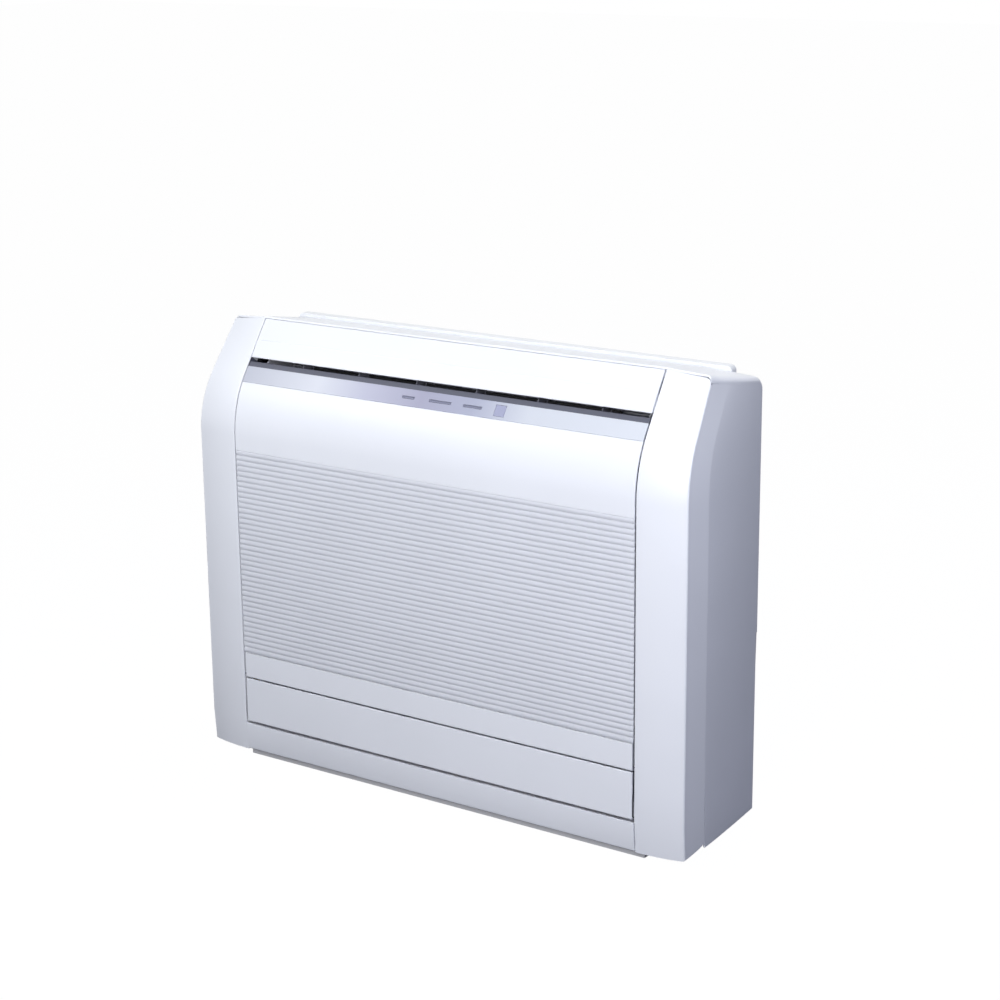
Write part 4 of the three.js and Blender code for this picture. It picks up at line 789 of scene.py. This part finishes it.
bm = bmesh.new()
for side, _ in SIDES:
    inner, outer = side * (PANEL_HALF - 4), side * (SEAM_X + WALL + 1)
    rod(bm, PIN_RADIUS, (inner, PIN_Y, PIN_Z), (outer, PIN_Y, PIN_Z))
# painted shade: the pins take the slot's shade colour so that the seam stays a shadow line
piece("panel_pins", bm, slot_shade_plastic, "front_panel", (), 0.2)

# %% [markdown]
# ## The intake grille
# The grille is a ladder of thirty-nine slats on four ribs. Up close each slat is a small louvre: its
# face tips forward at the bottom, its edges are soft, and it hides most of the gap above the next
# one. That is why the grille reads as pale lines and not as dark slots. One slat's section is drawn,
# extruded across the panel, and copied upwards.

# %% Grille
SLAT_COUNT = 39
SLAT_PITCH = (GRILLE_TOP - GRILLE_BOTTOM) / SLAT_COUNT


def slat_outline(z):
    """Section (y, z) of one slat whose lower edge is at z."""
    face = [(0.95, 0.1), (0.7, 0.2), (0.1, 2.4), (0.0, 3.0), (0.08, 3.7), (0.5, 5.9), (0.9, 6.7)]
    top = [(1.5, 7.3), (2.6, 7.9), (3.8, 8.3), (4.6, 8.3)]
    back = [(4.6, 7.6), (3.2, 6.9), (2.1, 5.7), (1.7, 4.2), (1.7, 1.2)]
    return [(FRONT + y, z + up) for y, up in face + top + back]


bm = bmesh.new()
for i in range(SLAT_COUNT):
    bar(bm, slat_outline(GRILLE_BOTTOM + 0.45 + i * SLAT_PITCH), -PANEL_HALF, PANEL_HALF)
rib_y, rib_z = (FRONT + 3.0, FRONT + SLAT_DEPTH - 0.2), (GRILLE_BOTTOM + 1, GRILLE_TOP - 1)
for share in (-1, -1 / 3, 1 / 3, 1):
    x = share * (PANEL_HALF - 3)
    block(bm, (x - 1.5, x + 1.5), rib_y, rib_z)
# the slats' grey colour is painted shade among the slats
piece("grille_moulding", bm, slat_plastic_painted_shade, "front_panel",
      ["intake_grille"], 0, True)
print("grille:", SLAT_COUNT, "slats at", round(SLAT_PITCH, 2), "mm")

# %% [markdown]
# ## The two flaps
# The upper flap is a slightly full, curved strip with one faint crease along it. The lower flap is
# flat with small roundings. Both turn on pins in the wings, so each has an arm and a pin at its ends,
# and both are separate pieces that ride on their own bodies.

# %% Upper flap
FLAP_Z0 = STRIP_TOP + 10.5
FLAP_THICK, BULGE, CREASE = 3.0, 1.2, 0.45
UPPER_AXIS = on_lean(FLAP_Z0, 9, 9)
FLAP_SHARES = [0, 0.015, 0.04, 0.08, 0.14, 0.22, 0.32]
FLAP_SHARES += [CREASE + step for step in (-0.03, -0.008, 0.004, 0.02)]
FLAP_SHARES += [0.55, 0.66, 0.78, 0.88, 0.95, 0.985, 1.0]


def flap_pin(bm, side, axis):
    rod(bm, 3, (side * (PANEL_HALF - 3), *axis), (side * (PANEL_HALF + 8.5), *axis))


def flap_fullness(share):
    """How far the flap's face stands out of the wings' lean, as a share of the bulge."""
    swell = 1 - (2 * share - 1) ** 2
    heel = -0.6 * max(0.0, 1 - share / 0.05) ** 2
    step = -0.35 if CREASE - 0.02 < share < CREASE + 0.012 else 0.0
    lower = 0.12 if share < CREASE else 0.0
    return swell * 0.85 + heel + step + lower


def upper_flap():
    top = HEIGHT - COVER_GAP / (1 + math.tan(LEAN) * math.tan(TOP_FALL))
    length = (top - 0.15 - FLAP_Z0) / math.cos(LEAN)
    across = [-PANEL_HALF + 2 * PANEL_HALF * i / 8 for i in range(9)]

    def place(x, share):
        y, z = on_lean(FLAP_Z0, share * length, -BULGE * flap_fullness(share))
        return x, y, z

    bm = shell(sheet(across, FLAP_SHARES, place, (0, -1, 1)), FLAP_THICK)
    arm = [on_lean(FLAP_Z0, *p) for p in ((2, 2), (26, 2), (24, 6), (12, 13), (6, 13), (4, 8))]
    for side, _ in SIDES:
        bar(bm, arm, *span(side, PANEL_HALF - 5, PANEL_HALF))
        flap_pin(bm, side, UPPER_AXIS)
    return bm


piece("upper_flap_moulding", upper_flap(), white_plastic, "upper_flap",
      ["upper_flap"], 0.5, True)

# %% [markdown]
# Behind the slot a guard of thin bars keeps fingers away from the fan. A dark lip along the slot's
# lower edge is painted shade for the shadow inside the slot, and stays clear of the flap's heel as it
# turns. Two sheets of the same painted shade close the slot's two ends.

# %% Guard and painted slot shade
GUARD_Y, GUARD_Z, GUARD_HALF, GUARD_BARS = -7.5, (518.0, 566.0), 272.0, 15
bm = bmesh.new()
for i in range(GUARD_BARS):
    z = GUARD_Z[0] + i * (GUARD_Z[1] - GUARD_Z[0]) / (GUARD_BARS - 1)
    block(bm, (-GUARD_HALF, GUARD_HALF), (GUARD_Y, GUARD_Y + 1.6), (z, z + 1.9))
for x in range(-270, 271, 45):
    block(bm, (x - 1, x + 1), (GUARD_Y + 1, GUARD_Y + 3), GUARD_Z)
piece("outlet_guard", bm, duct_plastic, "casing", (), 0)

bm = bmesh.new()
# the slot's ends and its lower lip are dark sheets of painted shade
shade_ends = [on_lean(FLAP_Z0, *p) for p in ((-12.8, 1.6), (1, 1.6), (1, 18.5), (-12.8, 18.5))]
for side, _ in SIDES:
    bar(bm, shade_ends, *span(side, SEAM_X - 0.08, SEAM_X + 1.5))
lip = [(-13.6, 1.2), (-7.5, 1.0), (-6.0, 1.3), (-5.2, 2.2), (-5.0, 3.4)]
lip += [(-6.2, 3.4), (-6.8, 2.6), (-13.6, 2.6)]
bar(bm, [on_lean(FLAP_Z0, *p) for p in lip], -PANEL_HALF, PANEL_HALF)
piece("painted_slot_shade_sheet", bm, slot_shade_plastic, "casing", (), 0, True)

# %% Lower flap
LOWER_FLAP_Z0, LOWER_FLAP_TOP = SKIRT_TOP + 3.5, PANEL_BOTTOM - 2.0
LOWER_AXIS = (FRONT + 10, LOWER_FLAP_Z0 + 7)


def lower_flap():
    y, z = LOWER_AXIS
    skin = [(FRONT + 3, LOWER_FLAP_Z0)] + arc((FRONT + 2, LOWER_FLAP_Z0 + 2), 2, 270, 180, 5)
    skin += arc((FRONT + 0.4, LOWER_FLAP_TOP - 0.4), 0.4, 180, 90, 3)
    skin += [(FRONT + FLAP_THICK, LOWER_FLAP_TOP), (FRONT + FLAP_THICK + 1, z + 12), (FRONT + 5, z)]
    arm = [(FRONT + 1, z - 4), (y, z - 4.5), (y + 4, z - 2), (y + 4, z + 2), (y, z + 6)]
    arm += [(FRONT + 1, z + 30)]
    bm = bmesh.new()
    bar(bm, skin, -PANEL_HALF + SWING_GAP, PANEL_HALF - SWING_GAP)
    for side, _ in SIDES:
        bar(bm, arm, *span(side, PANEL_HALF - 7, PANEL_HALF - SWING_GAP))
        flap_pin(bm, side, LOWER_AXIS)
    return bm


piece("lower_flap_moulding", lower_flap(), white_plastic, "lower_flap",
      ["lower_flap"], 0.3, True)

# %% [markdown]
# ## The indicator strip
# The strip lies on the lean between the panel and the slot. Three lamps and the remote control's
# receiver sit flush in windows. The grid has lines at the windows' edges, so deleting a few faces
# opens them, and the lenses are small blocks laid on the same lean.

# %% Strip and lenses
STRIP_THICK, LAMP_HEIGHT = 3.0, 3.0
LAMPS = (("lamp_lens_1", -38, 18), ("lamp_lens_2", 10, 32), ("lamp_lens_3", 58, 27))
RECEIVER = ("ir_receiver_lens", 98, 14.6)
STRIP_MIDDLE = (STRIP_BOTTOM + STRIP_TOP) / 2
STRIP_LENGTH = (STRIP_TOP - STRIP_BOTTOM) / math.cos(LEAN)


def indicator_strip():
    lens_edge = LAMP_HEIGHT / 2 + FIT
    receiver_edge = RECEIVER[2] / 2 + FIT
    half = STRIP_LENGTH / 2
    rows = [-half, -receiver_edge, -lens_edge, lens_edge, receiver_edge, half]
    edges = []
    for _, x, length in (*LAMPS, RECEIVER):
        edges += [x - length / 2 - FIT, x + length / 2 + FIT]
    columns = sorted([-PANEL_HALF, -180, 180, PANEL_HALF] + edges)

    def place(x, up):
        y, z = on_lean(STRIP_MIDDLE, up, 0)
        return x, y, z

    bm = sheet(columns, rows, place, (0, -1, 1))
    level = STRIP_MIDDLE * MM
    windows = []
    for face in bm.faces:
        middle = face.calc_center_median()
        up = abs(middle.z - level) / math.cos(LEAN) / MM
        x = middle.x / MM
        in_lamp = any(abs(x - at) < length / 2 for _, at, length in LAMPS) and up < lens_edge
        in_receiver = abs(x - RECEIVER[1]) < RECEIVER[2] / 2 and up < receiver_edge
        if in_lamp or in_receiver:
            windows.append(face)
    bmesh.ops.delete(bm, geom=windows, context="FACES")
    bm = shell(bm, STRIP_THICK)
    lip = ((-half - 4, 3.0), (-half + 2, 3.0), (-half + 2, 4.2), (-half - 4, 4.2))
    bar(bm, [on_lean(STRIP_MIDDLE, *p) for p in lip], -PANEL_HALF, PANEL_HALF)
    return bm


def lens(name, x, length, height, finish, slot_name, sunk):
    bm = bmesh.new()
    corners = ((-height / 2, sunk), (-height / 2, 3.4), (height / 2, 3.4), (height / 2, sunk))
    bar(bm, [on_lean(STRIP_MIDDLE, *p) for p in corners], x - length / 2, x + length / 2)
    piece(f"{name}_window", bm, finish, "casing", [name], 0.35, True)


piece("strip_moulding", indicator_strip(), strip_plastic, "casing",
      ["indicator_strip"], 0.25, True)
for lamp, x, length in LAMPS:
    lens(lamp, x, length, LAMP_HEIGHT, lens_plastic, "lens_pale", 0.25)
lens(*RECEIVER, RECEIVER[2], receiver_plastic, "lens_dark", 0.1)

# %% [markdown]
# ## Behind the panel: filters and coil
# With the panel down, two filters show in the frame. Each is a ribbed frame with a fine mesh. The
# mesh is real threads here, so that the coil shows between them. The coil is a stack of thin fins on
# tubes, also real, and cheap because each fin is one flat block.

# %% Filters
FILTER_Y, FILTER_THICK = FRONT + 12.2, 3.4
FILTER_Z = (150.0, 440.0)
FILTER_X = (3.0, 290.0)
BORDER, RIB, THREAD_PITCH, THREAD = 7.0, 3.5, 3.2, 0.45


def air_filter(side, name):
    x0, x1 = span(side, *FILTER_X)
    z0, z1 = FILTER_Z
    y = (FILTER_Y, FILTER_Y + FILTER_THICK)
    bm = bmesh.new()
    block(bm, (x0, x1), y, (z0, z0 + BORDER))
    block(bm, (x0, x1), y, (z1 - BORDER, z1))
    block(bm, (x0, x0 + BORDER), y, (z0 + BORDER, z1 - BORDER))
    block(bm, (x1 - BORDER, x1), y, (z0 + BORDER, z1 - BORDER))
    for i in range(1, 4):
        x = x0 + (x1 - x0) * i / 4
        block(bm, (x - RIB / 2, x + RIB / 2), (y[0] + 0.4, y[1] - 0.4), (z0 + BORDER, z1 - BORDER))
        z = z0 + (z1 - z0) * i / 4
        block(bm, (x0 + BORDER, x1 - BORDER), (y[0] + 0.5, y[1] - 0.5), (z - RIB / 2, z + RIB / 2))
    piece(f"{name}_filter_frame", bm, grey_plastic, f"{name}_air_filter",
          [f"{name}_air_filter"], 0.3)
    middle = (y[0] + y[1]) / 2
    bm = bmesh.new()
    for i in range(1, int((x1 - x0 - 2 * BORDER) / THREAD_PITCH) + 1):
        x = x0 + BORDER + i * THREAD_PITCH
        block(bm, (x - THREAD / 2, x + THREAD / 2), (middle - 0.3, middle + 0.1), (z0 + 5, z1 - 5))
    for i in range(1, int((z1 - z0 - 2 * BORDER) / THREAD_PITCH) + 1):
        z = z0 + BORDER + i * THREAD_PITCH
        block(bm, (x0 + 5, x1 - 5), (middle - 0.1, middle + 0.3), (z - THREAD / 2, z + THREAD / 2))
    piece(f"{name}_filter_mesh", bm, thread_plastic, f"{name}_air_filter", (), 0)


for side, name in SIDES:
    air_filter(side, name)

# %% Coil fins
COIL_HALF, COIL_Y, COIL_THICK, COIL_Z = 268.0, FRONT + 24, 31.0, (126.0, 452.0)
FIN_PITCH, FIN_THICK, TUBE_PITCH, TUBE_RADIUS = 2.4, 0.35, 25.4, 3.5
fins = int(2 * COIL_HALF / FIN_PITCH) + 1
tube_rows = int((COIL_Z[1] - COIL_Z[0] - 20) / TUBE_PITCH) + 1
bm = bmesh.new()
for i in range(fins):
    x = -COIL_HALF + i * FIN_PITCH
    block(bm, (x, x + FIN_THICK), (COIL_Y, COIL_Y + COIL_THICK), COIL_Z)
for i in range(tube_rows):
    for share in (0.27, 0.73):
        at = (COIL_Y + COIL_THICK * share, COIL_Z[0] + 12 + i * TUBE_PITCH)
        rod(bm, TUBE_RADIUS, (-COIL_HALF, *at), (COIL_HALF, *at), 12)
piece("coil_fin_pack", bm, fin_aluminium, "casing", ["coil_fins"], 0)
print("coil:", fins, "fins,", 2 * tube_rows, "tubes")

# %% [markdown]
# ## Softened copies
# The other parts already have their real shape in the CAD model, but its edges are perfectly sharp
# and its flats are cut into triangles. A copy of each is merged, its flats are joined, and a small
# bevel catches the light along its edges. The copy stands for the node, and moves with its body.

# %% Copies with soft edges


def softened(node, material, edge):
    bm = bmesh.new()
    bm.from_mesh(nodes[node].data)
    bmesh.ops.remove_doubles(bm, verts=bm.verts[:], dist=0.00001)
    bmesh.ops.dissolve_limit(
        bm, angle_limit=math.radians(2), verts=bm.verts[:], edges=bm.edges[:]
    )
    return piece(f"{node}_soft", bm, material, nodes[node]["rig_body"], [node], edge)


def narrowed(made, low, high, ahead_of=1.0):
    """Limits X, in metres, for the points that lie ahead of a depth."""
    for vertex in made.data.vertices:
        if vertex.co.y < ahead_of:
            vertex.co.x = max(low, min(high, vertex.co.x))


for node in ("inner_frame", "drain_pan", "electrical_box", "left_panel_catch",
             "right_panel_catch", "manual_button", "outlet_selector_switch"):
    softened(node, grey_plastic, 0.3)
for node in ("upper_flap_motor", "lower_flap_motor", "vane_link"):
    softened(node, dark_plastic, 0.2)
rear = softened("rear_casing", grey_plastic, 0.6)
narrowed(rear, -0.364, 0.364)  # it stays inside the side panels, which draw in at the wall
plinth = softened("base_plinth", plinth_plastic, 0.8)
narrowed(plinth, -0.297, 0.313, -0.08)  # its front corners are cut back, so that less of it shows
softened("wall_bracket", zinc, 0.3)

# %% [markdown]
# ## Finishes for the parts that stay
# What is left is hidden deep inside, or is as good as it needs to be. Each of these CAD nodes keeps
# its mesh and gets its finish here.

# %% Finishes of the remaining nodes
REMAINING = {
    white_plastic: ["inlet_plate", "left_scroll_wall", "right_scroll_wall"],
    grey_plastic: ["turbo_fan", "terminal_block"],
    duct_plastic: ["upper_outlet_duct", "lower_outlet_duct"],
    vane_plastic: [f"upper_vane_{i}" for i in range(1, 7)],
    zinc: ["fan_motor", "motor_bracket", "fan_shaft", "electrical_box_cover", "coil_left_end",
           "coil_right_end"],
    copper: ["gas_pipe", "liquid_pipe"],
    brass: ["gas_flare_nut", "liquid_flare_nut", "fan_nut"],
    board_green: ["display_board", "control_board", "main_circuit_board"],
}
for material, names in REMAINING.items():
    for node in names:
        slots = nodes[node].material_slots
        if not slots:
            nodes[node].data.materials.append(material)
        for one in slots:
            one.material = material

shown = {node for names in REMAINING.values() for node in names}
hidden = {node for node, held in nodes.items() if held.hide_render}
print("nodes kept", len(shown), "replaced", len(hidden))
print("left over", sorted(set(nodes) - shown - hidden))
